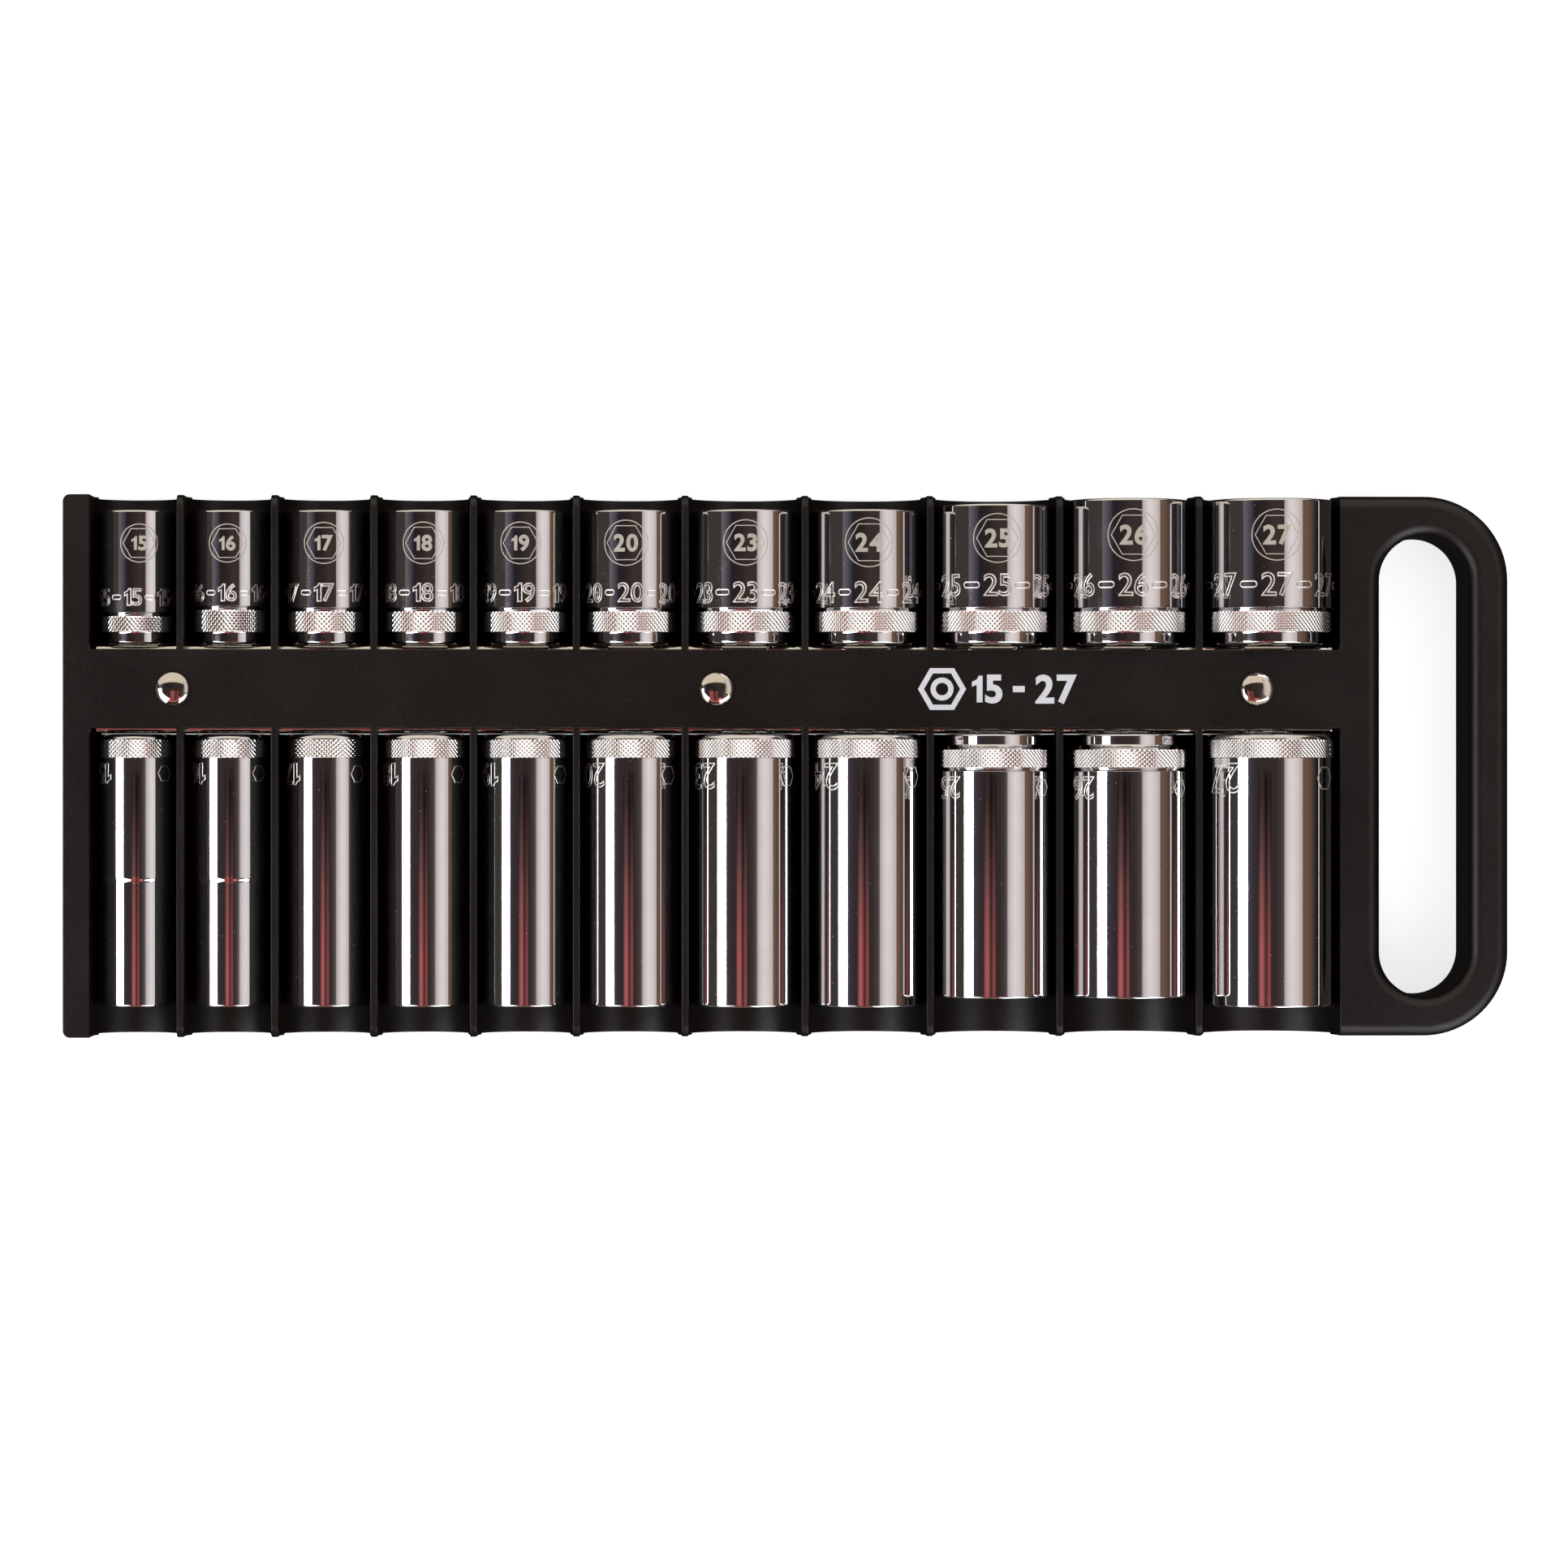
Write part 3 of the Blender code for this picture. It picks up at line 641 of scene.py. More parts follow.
def waist(radius, nose):
    """The soft step in the middle of the two smallest deep sockets."""
    points = []
    for k in range(WAIST_STEPS + 1):
        share = k / WAIST_STEPS
        eased = share - math.sin(math.tau * share) / math.tau
        height = WAIST_FROM_DRIVE + WAIST_HALF_LENGTH * (1 - 2 * share)
        points.append((nose + (radius - nose) * eased, height))
    return points


def outside(place, size, row, necked, waisted):
    """Two lists of radius and height: above the knurl and below it, and the knurl's place.

    A ring just past each round keeps the long plain faces from borrowing its slope.
    """
    radius, length = place["radius"], place["length"]
    nose = radius - NOSE_STEP if waisted else radius
    above = quarter_round(nose, length, RIM_ROUND, steps=4, rising=True)
    above.append((nose, length - RIM_ROUND - KEEP_STRAIGHT))
    if waisted:
        above.append((nose, WAIST_FROM_DRIVE + WAIST_HALF_LENGTH + KEEP_STRAIGHT))
        above += waist(radius, nose)
        above.append((radius, WAIST_FROM_DRIVE - WAIST_HALF_LENGTH - KEEP_STRAIGHT))
    if necked:
        flared = row == "deep"
        start, run = NECK_LENGTH, KNURL_LENGTH.get(size, USUAL_KNURL_LENGTH)
        if flared:
            start, run = FLARE_END, PLAIN_KNURL_LENGTH
        crest, top, neck = radius * KNURL_RATIO, start + run, radius * NECK_RATIO
        above.append((radius, top + GROOVE_WIDTH + KEEP_STRAIGHT))
        above += quarter_round(radius, top + GROOVE_WIDTH, GROOVE_ROUND, steps=3)
        for k in range(1, GROOVE_STEPS):
            sunk = GROOVE_DEPTH * math.sin(math.pi * k / GROOVE_STEPS)
            up = GROOVE_WIDTH * (0.9 - 0.8 * k / GROOVE_STEPS)
            above.append((radius - GROOVE_ROUND - sunk, top + up))
        foot = crest - FLARE_STEP if flared else neck + NECK_STEP
        below = [(foot, start - KEEP_STRAIGHT)]
        below += [(neck + out, NECK_LENGTH - down) for out, down in NECK_FILLET]
        below.append((neck, NECK_CHAMFER + KEEP_STRAIGHT))
        below += quarter_round(neck, 0.0, NECK_CHAMFER, steps=4)
    else:
        crest, start, run = radius, KNURL_START, PLAIN_KNURL_LENGTH
        above.append((radius, start + run + KEEP_STRAIGHT + PAST_KNURL))
        above.append((radius, start + run + PAST_KNURL))
        below = [(radius - DRIVE_STEP, DRIVE_CHAMFER)]
        below += quarter_round(radius - DRIVE_STEP, 0.0, DRIVE_CHAMFER - KEEP_STRAIGHT, steps=6)
    return above, below, (crest, start, run)


# %% The knurl: crossed V grooves that leave flat-topped diamonds
KNURL_PITCH, KNURL_DEPTH, FLAT_SHARE = 1.42 * MM, 0.21 * MM, 0.38


def knurl(turns, crest, start, run):
    """Points and faces of a knurled band, from its upper edge to its lower edge.

    Crests and pits alternate like a chessboard, half a pitch apart. One more point on
    every side between a crest and a pit marks where the diamond's flat top ends.
    """
    count, rows = len(turns), max(4, 2 * round(run / KNURL_PITCH))
    step = math.tau / count
    heights = start + run - run * np.arange(rows + 1) / rows
    points, faces, index = [], [], {}

    def add(key, turn, height, radius):
        index[key] = len(points)
        points.append((turn, height, radius))

    for j in range(rows + 1):
        for k in range(count):
            crest_here = (j + k) % 2 == 0
            add(("node", j, k), turns[k], heights[j], crest if crest_here else crest - KNURL_DEPTH)
            share = FLAT_SHARE if crest_here else 1 - FLAT_SHARE
            add(("across", j, k), turns[k] + step * share, heights[j], crest)
            if j < rows:
                add(("along", j, k), turns[k], heights[j] + (heights[j + 1] - heights[j]) * share, crest)
    for j in range(rows):
        for k in range(count):
            n = (k + 1) % count
            corners = [("node", j, k), ("node", j, n), ("node", j + 1, n), ("node", j + 1, k)]
            sides = [("across", j, k), ("along", j, n), ("across", j + 1, k), ("along", j, k)]
            first = 0 if (j + k) % 2 == 0 else 1
            for c in (first, first + 2):
                after, before, following = sides[c % 4], sides[(c - 1) % 4], corners[(c + 1) % 4]
                previous = corners[(c - 1) % 4]
                faces.append([index[corners[c % 4]], index[after], index[before]])
                faces.append([index[after], index[following], index[previous], index[before]])
    upper = [index[(kind, 0, k)] for k in range(count) for kind in ("node", "across")]
    lower = [index[(kind, rows, k)] for k in range(count) for kind in ("node", "across")]
    return points, faces, upper, lower


# %% The inside of a socket, from the drive end back to the mouth
DRIVE_SQUARE, DRIVE_EASE, DRIVE_DEPTH, DRIVE_LEAD = 12.9 * MM, 0.95 * MM, 16.5 * MM, 0.5 * MM
HEX_SLACK, LEAD_SLOPE, LEAD_PAST_CORNER = 0.3 * MM, 0.6, 0.15 * MM
BORE_STEP, WIDEST_BORE = 0.6 * MM, 16.5 * MM
HEX_DEPTH = {"short": 18.0 * MM, "deep": 26.0 * MM}


def inside(size, row, length, turns):
    """Rings through the square drive hole, the bore, the hexagon and its lead-in cone."""
    square = drive_rule(turns, DRIVE_SQUARE, DRIVE_EASE)
    apothem = (size * MM + HEX_SLACK) / 2
    hexagon = polygon_rule(turns, 6, apothem, 0.0)
    bore = min(size * MM - BORE_STEP, WIDEST_BORE) / 2
    hex_floor = length - HEX_DEPTH[row]
    lead = apothem / math.cos(math.pi / 6) + LEAD_PAST_CORNER
    drive = [(square + DRIVE_LEAD, 0.0), (square, DRIVE_LEAD), (square, DRIVE_DEPTH)]
    bored = [(bore, DRIVE_DEPTH), (bore, hex_floor), (hexagon, hex_floor)]
    mouth = [(hexagon, length - LEAD_SLOPE * (lead - hexagon)), (lead, length)]
    return [ring(radius, height, turns) for radius, height in drive + bored + mouth]


# %% Knit the rings into sockets
STEPS_FOR_CORNERS, KNURL_FOOT = 24, 0.06 * MM


def socket_mesh(name, size, row):
    place = socket_place(row, size)
    necked = row == "short" or size in NECKED_DEEP
    waisted = row == "deep" and size in WAISTED_DEEP
    above, below, (crest, start, run) = outside(place, size, row, necked, waisted)
    around = math.tau * crest / (KNURL_PITCH / 2) / STEPS_FOR_CORNERS
    count = STEPS_FOR_CORNERS * round(around)
    turns = np.arange(count) * math.tau / count
    root = crest - KNURL_DEPTH
    upper_rings = [ring(r, h, turns) for r, h in [*above, (root, start + run + KNURL_FOOT)]]
    lower_rings = [ring(r, h, turns) for r, h in [(root, start - KNURL_FOOT), *below]]
    lower_rings += inside(size, row, place["length"], turns)
    points = [(t, h, r) for one in upper_rings + lower_rings for t, (r, h) in zip(turns, one)]
    faces, base = [], len(points)
    for first in range(0, base, count):
        if first != (len(upper_rings) - 1) * count:
            faces += band(first, (first + count) % base, count)
    knurl_points, knurl_faces, upper, lower = knurl(turns, crest, start, run)
    points += knurl_points
    faces += [[base + v for v in face] for face in knurl_faces]
    over, under = (len(upper_rings) - 1) * count, len(upper_rings) * count
    for k in range(count):
        n = (k + 1) % count
        edge = [base + upper[2 * k], base + upper[2 * k + 1], base + upper[2 * n]]
        faces.append([over + k, over + n, *edge[::-1]])
        edge = [base + lower[2 * k], base + lower[2 * k + 1], base + lower[2 * n]]
        faces.append([*edge, under + n, under + k])
    turn, height, radius = np.array(points).T
    co = np.empty((len(points), 3))
    co[:, 0] = place["x"] + radius * np.sin(turn)
    co[:, 1] = place["drive_y"] + place["outward"] * height
    co[:, 2] = place["z"] + radius * np.cos(turn)
    return closed_mesh(name, co.tolist(), faces, angle=46)


faces_made = 0
for size in SIZES:
    for row in ROWS:
        node = f"{row}_socket_{size}"
        mesh = socket_mesh(f"{node}_chrome", size, row)
        piece_from(f"{node}_chrome", mesh, node, CHROME, [node])
        faces_made += len(mesh.polygons)
print("sockets:", faces_made, "faces")

# %% [markdown]
# ## Size marks
#
# Each socket says its size twice. On the short ones a laser has etched a ring, a
# hexagon and bold digits into the bright plate, which leaves a matt grey. Nearer the
# knurl a stamp has pressed outlined digits all round, and on the deep sockets the
# stamped digits stand just past the knurl and read from the mouth. Flat drawings are
# made first, cut into narrow strips, and then rolled round the socket, so they are
# real thin shapes and not a picture.
#
# %% Flat drawings from the built-in letters
def flat_words(words, size):
    """Words as a flat mesh, centred, with the built-in letters."""
    curve = bpy.data.curves.new(words, "FONT")
    curve.body = words
    curve.size = size
    curve.align_x, curve.align_y = "CENTER", "CENTER"
    curve.resolution_u = 5
    mesh = drawn_mesh(words, curve)
    points = np.array([v.co for v in mesh.vertices])
    mesh.transform(Matrix.Translation(Vector(-(points.min(0) + points.max(0)) / 2)))
    return mesh


heights = [v.co.y for v in flat_words("27", 1.0).vertices]
LETTER_SIZE_PER_HEIGHT = 1.0 / (max(heights) - min(heights))
print("letter size for digits one unit high:", round(LETTER_SIZE_PER_HEIGHT, 3))


# %% Rows of figures as closed outlines
LEAST_LENGTH, LEAST_COSINE = 0.2, 0.55


def sideways(path):
    """For each point of a closed path, the step to its left that keeps lines parallel."""
    before, after = path - np.roll(path, 1, 0), np.roll(path, -1, 0) - path
    before /= np.linalg.norm(before, axis=1)[:, None]
    after /= np.linalg.norm(after, axis=1)[:, None]
    middle = before + after
    middle /= np.maximum(np.linalg.norm(middle, axis=1), LEAST_LENGTH)[:, None]
    stretch = 1 / np.maximum((middle * after).sum(1), LEAST_COSINE)
    return np.stack([-middle[:, 1], middle[:, 0]], axis=1) * stretch[:, None]


def letter_outlines(letter, height):
    """The closed outlines of one letter, with the letter on the left of its path."""
    body = opened(flat_words(letter, height * LETTER_SIZE_PER_HEIGHT))
    body.verts.ensure_lookup_table()
    onward = {}
    for face in body.faces:
        for loop in face.loops:
            if len(loop.edge.link_faces) == 1:
                onward[loop.vert.index] = loop.link_loop_next.vert.index
    found = []
    while onward:
        start, here = next(iter(onward.items()))
        points = [tuple(body.verts[start].co.xy)]
        del onward[start]
        while here != start:
            points.append(tuple(body.verts[here].co.xy))
            here = onward.pop(here)
        found.append(points)
    body.free()
    return found


ONE = ((0.24, 0), (0.24, 1), (0.10, 1), (0.02, 0.86), (-0.16, 0.77), (-0.16, 0.58), (0.02, 0.66), (0.02, 0))
LETTER_GAP, WORD_GAP, BOLD = 0.09, 0.3, 0.05


def outlines(words, height, bold=0.0):
    """A row of figures as closed outlines, centred. A one gets a flag, as on stamps."""
    found, reach = [], 0.0
    for letter in words:
        if letter == " ":
            reach += WORD_GAP * height
            continue
        drawn = letter_outlines(letter, height)
        if letter == "1":
            drawn = [[(x * height, (y - 0.5) * height) for x, y in ONE]]
        elif bold:
            paths = [np.array(one) for one in drawn]
            drawn = [(path - bold * height * sideways(path)).tolist() for path in paths]
        low = min(x for one in drawn for x, _ in one)
        found += [moved(one, reach - low, 0.0) for one in drawn]
        reach = max(x for one in found for x, _ in one) + LETTER_GAP * height
    return [moved(one, (LETTER_GAP * height - reach) / 2, 0.0) for one in found]


def moved(points, x, y, turned=False):
    flip = -1 if turned else 1
    return [(x + flip * px, y + flip * py) for px, py in points]


# %% Figures as thin plates, and lines as thin closed ridges
STRIP, SUNK, MARK_SIDES = 0.5 * MM, 0.03 * MM, 72


def solid_figures(words, height, top):
    """A row of bold figures as thin plates, from a little below the surface up to a height."""
    return outline_mesh("figures", outlines(words, height, BOLD), -SUNK, top)


def dense(points):
    """The same closed outline with no side longer than one strip."""
    made = []
    for (ax, ay), (bx, by) in zip(points, points[1:] + points[:1]):
        parts = max(1, math.ceil(math.hypot(bx - ax, by - ay) / STRIP))
        made += [(ax + (bx - ax) * k / parts, ay + (by - ay) * k / parts) for k in range(parts)]
    return made


def ridge(points, profile):
    """Runs a profile of (sideways, height) points round a closed outline."""
    path = np.array(dense(points))
    across, count, sides = sideways(path), len(path), len(profile)
    points = [(x, y, high) for side, high in profile for x, y in (path + across * side).tolist()]
    faces = []
    for one in range(sides):
        faces += band(one * count, (one + 1) % sides * count, count)
    return points, faces


def line_profile(foot, top, low, high):
    """A line's section: half its width at the foot and at the top, and two heights."""
    return [(foot, low), (top, high), (-top, high), (-foot, low)]


def hexagon_line(corner):
    return arc((0, 0), corner, 0, 300, 5)


# %% Rolling a drawing round a socket
ETCH = 0.015 * MM


def rolled(name, meshes, place):
    """Joins flat meshes and wraps them on a socket: X goes round it and Y along it."""
    body = opened(*meshes)
    reach = max(abs(v.co.x) for v in body.verts)
    cut = -reach + STRIP
    while cut < reach:
        whole = body.verts[:] + body.edges[:] + body.faces[:]
        bmesh.ops.bisect_plane(body, geom=whole, plane_co=(cut, 0, 0), plane_no=(1, 0, 0), dist=1e-7)
        cut += STRIP
    for v in body.verts:
        around, along, height = v.co
        turn, radius = around / place["radius"], place["radius"] + height
        v.co = (place["x"] + radius * math.sin(turn), along, place["z"] + radius * math.cos(turn))
    mesh = stored(body, bpy.data.meshes.new(name))
    shade(mesh, angle=30)
    return mesh


def lines_mesh(outlined, profile):
    """One mesh with a ridge along each of some outlines."""
    points, faces = [], []
    for one in outlined:
        base = len(points)
        more, sides = ridge(one, profile)
        points += more
        faces += [[base + v for v in face] for face in sides]
    mesh = bpy.data.meshes.new("lines")
    mesh.from_pydata(points, [], faces)
    return mesh


def etched_grey():
    made, nodes, shader = new_material("etched_grey")
    tone = spread(noise(nodes, 2.0 * MM), 0.0, 1.0)
    join(blend(tone, (0.54, 0.50, 0.44), (0.62, 0.58, 0.51)), shader.inputs["Base Color"])
    join(spread(noise(nodes, 0.12 * MM, 2.0, 0.7), 0.5, 0.7), shader.inputs["Roughness"])
    shader.inputs["Metallic"].default_value = 0.35
    return made


ETCHED = etched_grey()

# %% The etched ring, hexagon and digits of the short sockets
ETCH_RADIUS_MM = {
    15: 5.4, 16: 5.4, 17: 5.8, 18: 5.9, 19: 5.9, 20: 6.4, 23: 6.4, 24: 6.9, 25: 6.9, 26: 7.3, 27: 7.2,
}
ETCH_FROM_BACK_MM, USUAL_ETCH_FROM_BACK_MM = {25: 12.6, 26: 11.7, 27: 11.7}, 13.8
ETCH_ASIDE_MM = {15: 1.8, 19: -1.2, 20: -1.4}
HEXAGON_SHARE, DIGIT_SHARE = 0.87, 0.72
RING_LINE, HEXAGON_LINE = 0.30 * MM, 0.26 * MM


def etched_mark(size):
    """The ring, the hexagon and the bold digits on the middle of a short socket."""
    radius, node = ETCH_RADIUS_MM[size] * MM, f"short_socket_{size}"
    aside = ETCH_ASIDE_MM.get(size, 0.0) * MM
    along = RAIL_BACK - ETCH_FROM_BACK_MM.get(size, USUAL_ETCH_FROM_BACK_MM) * MM
    drawn = [solid_figures(str(size), DIGIT_SHARE * radius, ETCH)]
    drawn[0].transform(Matrix.Translation((aside, along, 0.0)))
    circle = ring_points(0, 0, radius, MARK_SIDES)
    for line, width in ((circle, RING_LINE), (hexagon_line(HEXAGON_SHARE * radius), HEXAGON_LINE)):
        profile = line_profile(width / 2, width / 2, -SUNK, ETCH)
        drawn.append(lines_mesh([moved(line, aside, along)], profile))
    name = f"{node}_etched_mark"
    mesh = rolled(name, drawn, socket_place("short", size))
    piece_from(name, mesh, node, ETCHED)


for size in SIZES:
    etched_mark(size)
print("etched:", len(SIZES), "marks")

# %% The stamped digits
LIP = line_profile(0.22 * MM, 0.05 * MM, -SUNK / 2, 0.08 * MM)
STAMP_FROM_BACK_MM, USUAL_STAMP_FROM_BACK_MM = {15: 29.1, 25: 25.8, 26: 25.7, 27: 25.6}, 27.8
PRESSED = plated("pressed_chrome", (0.92, 0.91, 0.90), (0.86, 0.85, 0.84), 0.34, 0.46, 0.0)
STAMP_GROUPS, STAMP_BASE, STAMP_SHARE = 7, 1.9 * MM, 0.25
DASH_CLEAR, DASH_HEIGHT = 0.45, 0.26
DEEP_STAMP_BASE, DEEP_STAMP_SHARE, NECKED_STAMP_SHARE = 1.8 * MM, 0.36, 0.26
DEEP_STAMP_PAST_KNURL, DEEP_STAMP_TURN, SMALL_HEXAGON = 1.6 * MM, math.radians(52), 0.42


def dash(width, height):
    """A flat capsule outline."""
    bend = height / 2
    points = arc((width / 2 - bend, 0), bend, -90, 90, 8)
    return points + arc((bend - width / 2, 0), bend, 90, 270, 8)


def stamped(node, lines, place):
    """Presses a drawing into a socket, as lines that stand up in a small rounded lip."""
    name = f"{node}_stamped_digits"
    mesh = rolled(name, [lines_mesh(lines, LIP)], place)
    piece_from(name, mesh, node, PRESSED)


def short_stamp(size):
    """Outlined digits repeated round the socket, with a dash between two groups."""
    place = socket_place("short", size)
    radius = place["radius"]
    along = RAIL_BACK - STAMP_FROM_BACK_MM.get(size, USUAL_STAMP_FROM_BACK_MM) * MM
    high = STAMP_BASE + STAMP_SHARE * radius
    pitch = math.tau * radius / STAMP_GROUPS
    drawn = outlines(str(size), high)
    wide = 2 * max(x for one in drawn for x, _ in one)
    between = dash(pitch - wide - DASH_CLEAR * high, DASH_HEIGHT * high)
    lines = []
    for k in range(STAMP_GROUPS):
        middle = pitch * (k - STAMP_GROUPS // 2)
        lines += [moved(one, middle, along) for one in drawn]
        lines.append(moved(between, middle + pitch / 2, along))
    stamped(f"short_socket_{size}", lines, place)


def deep_stamp(size):
    """Outlined digits left of the middle, and a small hexagon on the other side."""
    place = socket_place("deep", size)
    radius = place["radius"]
    share, knurl_end = DEEP_STAMP_SHARE, KNURL_START + PLAIN_KNURL_LENGTH
    if size in NECKED_DEEP:
        share, knurl_end = NECKED_STAMP_SHARE, FLARE_END + PLAIN_KNURL_LENGTH + GROOVE_WIDTH
    high = share * radius + DEEP_STAMP_BASE
    along = place["drive_y"] - knurl_end - DEEP_STAMP_PAST_KNURL - high / 2
    aside = radius * DEEP_STAMP_TURN
    lines = [moved(one, -aside, along, True) for one in outlines(str(size), high)]
    lines.append(moved(hexagon_line(SMALL_HEXAGON * high), aside, along))
    stamped(f"deep_socket_{size}", lines, place)


for size in SIZES:
    short_stamp(size)
    deep_stamp(size)
print("stamped:", 2 * len(SIZES), "marks")

# %% [markdown]
# ## The print on the spine
#
# A rail of this kind is usually printed in white on its flat spine. Here it says which
# sizes it holds, beside the outline of a nut. Screen ink stands a hair above the
# plastic, so it is a very thin solid and catches light along its edge.
#
# %% White print
INK, INK_LINE = 0.03 * MM, 1.5 * MM
PRINT_X, PRINT_DIGITS = 67.1 * MM, 7.6 * MM
NUT_CORNER, NUT_BORE, NUT_TO_DIGITS = 6.0 * MM, 2.52 * MM, 2.5 * MM


def white_ink():
    made, nodes, shader = new_material("white_ink")
    tone = spread(noise(nodes, 1.2 * MM, 3.0, 0.6), 0.0, 1.0)
    join(blend(tone, (0.76, 0.77, 0.82), (0.84, 0.85, 0.90)), shader.inputs["Base Color"])
    shader.inputs["Roughness"].default_value = 0.45
    return made


def print_on_spine():
    """The nut's outline and the span of sizes, side by side on the spine."""
    words = solid_figures(f"{SIZES[0]} - {SIZES[-1]}", PRINT_DIGITS, INK)
    nut_x = PRINT_X - max(v.co.x for v in words.vertices) - NUT_TO_DIGITS - NUT_CORNER
    words.transform(Matrix.Translation((PRINT_X, SPINE_Y, 0.0)))
    nut = (ring_points(0, 0, NUT_BORE, MARK_SIDES), hexagon_line(NUT_CORNER))
    rings = [moved(one, nut_x, SPINE_Y) for one in nut]
    profile = line_profile(INK_LINE / 2, INK_LINE / 2, -SUNK, INK)
    body = opened(words, lines_mesh(rings, profile))
    bmesh.ops.translate(body, vec=(0, 0, RAIL_HEIGHT), verts=body.verts)
    mesh = stored(body, bpy.data.meshes.new("size_span_print"))
    return piece_from("size_span_print", mesh, "rail", white_ink())


print("made", print_on_spine().name)

# %% [markdown]
# ## Steel bars and rivets
#
# Two strips of nickelled steel run along the spine and show as a thin bright line
# between the ribs. Their upper outer edge is rolled round, and that round is what the
# lamps catch, so it gets real steps. The rivets have low domed heads: a dome is a
# profile turned round an axis, so their rings come from one short list of radii.
#
# %% The steel bars
BAR_EDGE, BAR_EDGE_STEPS = 1.2 * MM, 10
SMALL_EDGE, SMALL_EDGE_STEPS = 0.25 * MM, 3


def bar_section(low, high, outward):
    """The bar's section in Y and Z: a large round at the top outside, small ones elsewhere."""
    inner, outer = sorted((outward * low.y, outward * high.y))
    points = arc((outer - BAR_EDGE, high.z - BAR_EDGE), BAR_EDGE, 0, 90, BAR_EDGE_STEPS)
    inner, outer = inner + SMALL_EDGE, outer - SMALL_EDGE
    top, bottom = high.z - SMALL_EDGE, low.z + SMALL_EDGE
    for first, centre in ((90, (inner, top)), (180, (inner, bottom)), (270, (outer, bottom))):
        points += arc(centre, SMALL_EDGE, first, first + 90, SMALL_EDGE_STEPS)
    return [(outward * y, z) for y, z in points]


def bar_mesh(name, outward):
    """The section run along X, with a face at each end."""
    low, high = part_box(name)
    section = bar_section(low, high, outward)
    count = len(section)
    points = [(x, y, z) for x in (low.x, high.x) for y, z in section]
    faces = [list(range(count))[::-1], list(range(count, 2 * count)), *band(0, count, count)]
    return closed_mesh(f"{name}_nickel", points, faces, angle=40)


for name, outward in (("pole_bar_back", 1), ("pole_bar_front", -1)):
    piece_from(f"{name}_nickel", bar_mesh(name, outward), "rail", NICKEL, [name])
print("made two bars with", 4 + BAR_EDGE_STEPS, "steps round their edges")

# %% The rivets
DOME_HEIGHT, DOME_STEPS, RIVET_SIDES = 1.9 * MM, 12, 64
RIM_HEIGHT, RIM_EDGE = 0.35 * MM, 0.1 * MM
SHANK, TAIL_HEIGHT, TAIL_SHARE = 4.8 * MM, 1.0 * MM, 0.78


def rivet_mesh(name):
    """A low dome on a thin rim, a shank through the spine, and a flat tail under it."""
    low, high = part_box(name)
    x, y, head = (low.x + high.x) / 2, (low.y + high.y) / 2, (high.x - low.x) / 2
    seat, tail, tail_top = RAIL_HEIGHT + GAP, head * TAIL_SHARE, TAIL_HEIGHT + low.z
    rings = []
    for k in range(1, DOME_STEPS + 1):
        turn = math.pi / 2 * k / DOME_STEPS
        rings.append((head * math.sin(turn), seat + RIM_HEIGHT + (DOME_HEIGHT - RIM_HEIGHT) * math.cos(turn)))
    rings += [(head, seat + RIM_EDGE), (head - RIM_EDGE, seat), (SHANK / 2, seat), (SHANK / 2, tail_top)]
    rings += [(tail, tail_top), (tail, low.z + RIM_EDGE), (tail - RIM_EDGE, low.z)]
    points = [(x, y, seat + DOME_HEIGHT)]
    for radius, z in rings:
        points += [(px, py, z) for px, py in ring_points(x, y, radius, RIVET_SIDES)]
    points.append((x, y, low.z))
    faces, last = [], len(points) - 1 - RIVET_SIDES
    for first in range(1, last, RIVET_SIDES):
        faces += band(first + RIVET_SIDES, first, RIVET_SIDES)
    for k in range(RIVET_SIDES):
        n = (k + 1) % RIVET_SIDES
        faces += [[0, 1 + k, 1 + n], [last + k, len(points) - 1, last + n]]
    return closed_mesh(f"{name}_nickel", points, faces, angle=35)


for name in RIVETS:
    piece_from(f"{name}_nickel", rivet_mesh(name), "rail", NICKEL, [name])
print("rivets:", len(RIVETS))

# %% [markdown]
# ## Finishes for the base strip and the magnets
#
# These two kinds of piece already have their real shape, so they only need a finish.
# The base strip is the same black plastic as the tray. Ferrite magnets are pressed and
# fired powder: dark, dull grey and faintly pitted.
#
# %% Ferrite, and finishes for pieces that keep their shape
def ferrite():
    made, nodes, shader = new_material("ferrite")
    pits, tone = noise(nodes, 0.3 * MM, 4.0, 0.7), spread(noise(nodes, 4 * MM), 0.0, 1.0)
    join(blend(tone, (0.040, 0.040, 0.043), (0.060, 0.059, 0.062)), shader.inputs["Base Color"])
    join(spread(pits, 0.6, 0.8), shader.inputs["Roughness"])
    bumps(shader, pits, 0.05 * MM, 0.4)
    return made


FERRITE = ferrite()
kept = [name for name in frame["nodes"] if name == "base_strip" or name.startswith("magnet")]
for name in kept:
    for holder in frame["nodes"][name].material_slots:
        holder.material = PLASTIC if name == "base_strip" else FERRITE
print("finished as they are:", len(kept), "pieces")

# %% [markdown]
# ## The studio
#
# Chrome shows its surroundings more than itself, so the studio matters as much as the
# metal. A product photographer lights such a rail on a white table, under a dark
# ceiling. A large soft box on the left makes the long white stripe on every socket,
# two weaker ones stand in front, and a pale panel stands on the right. A cream wall
# behind brightens the upper rims, and two warm cards give the reddish lines. The camera
# never sees the cards themselves, and only the soft boxes and the panel light the rail.
#
# %% The white table and the world
WHITE = (1.0, 1.0, 1.0)
TABLE_LIFT, SOFT_LIGHT = 0.68, 0.55


def seen_directly(nodes):
    """1 for what the camera, a mirror or glass sees, and 0 for light that bounces softly."""
    path = nodes.new("ShaderNodeLightPath").outputs
    return larger(larger(path["Is Camera Ray"], path["Is Glossy Ray"]), path["Is Transmission Ray"])


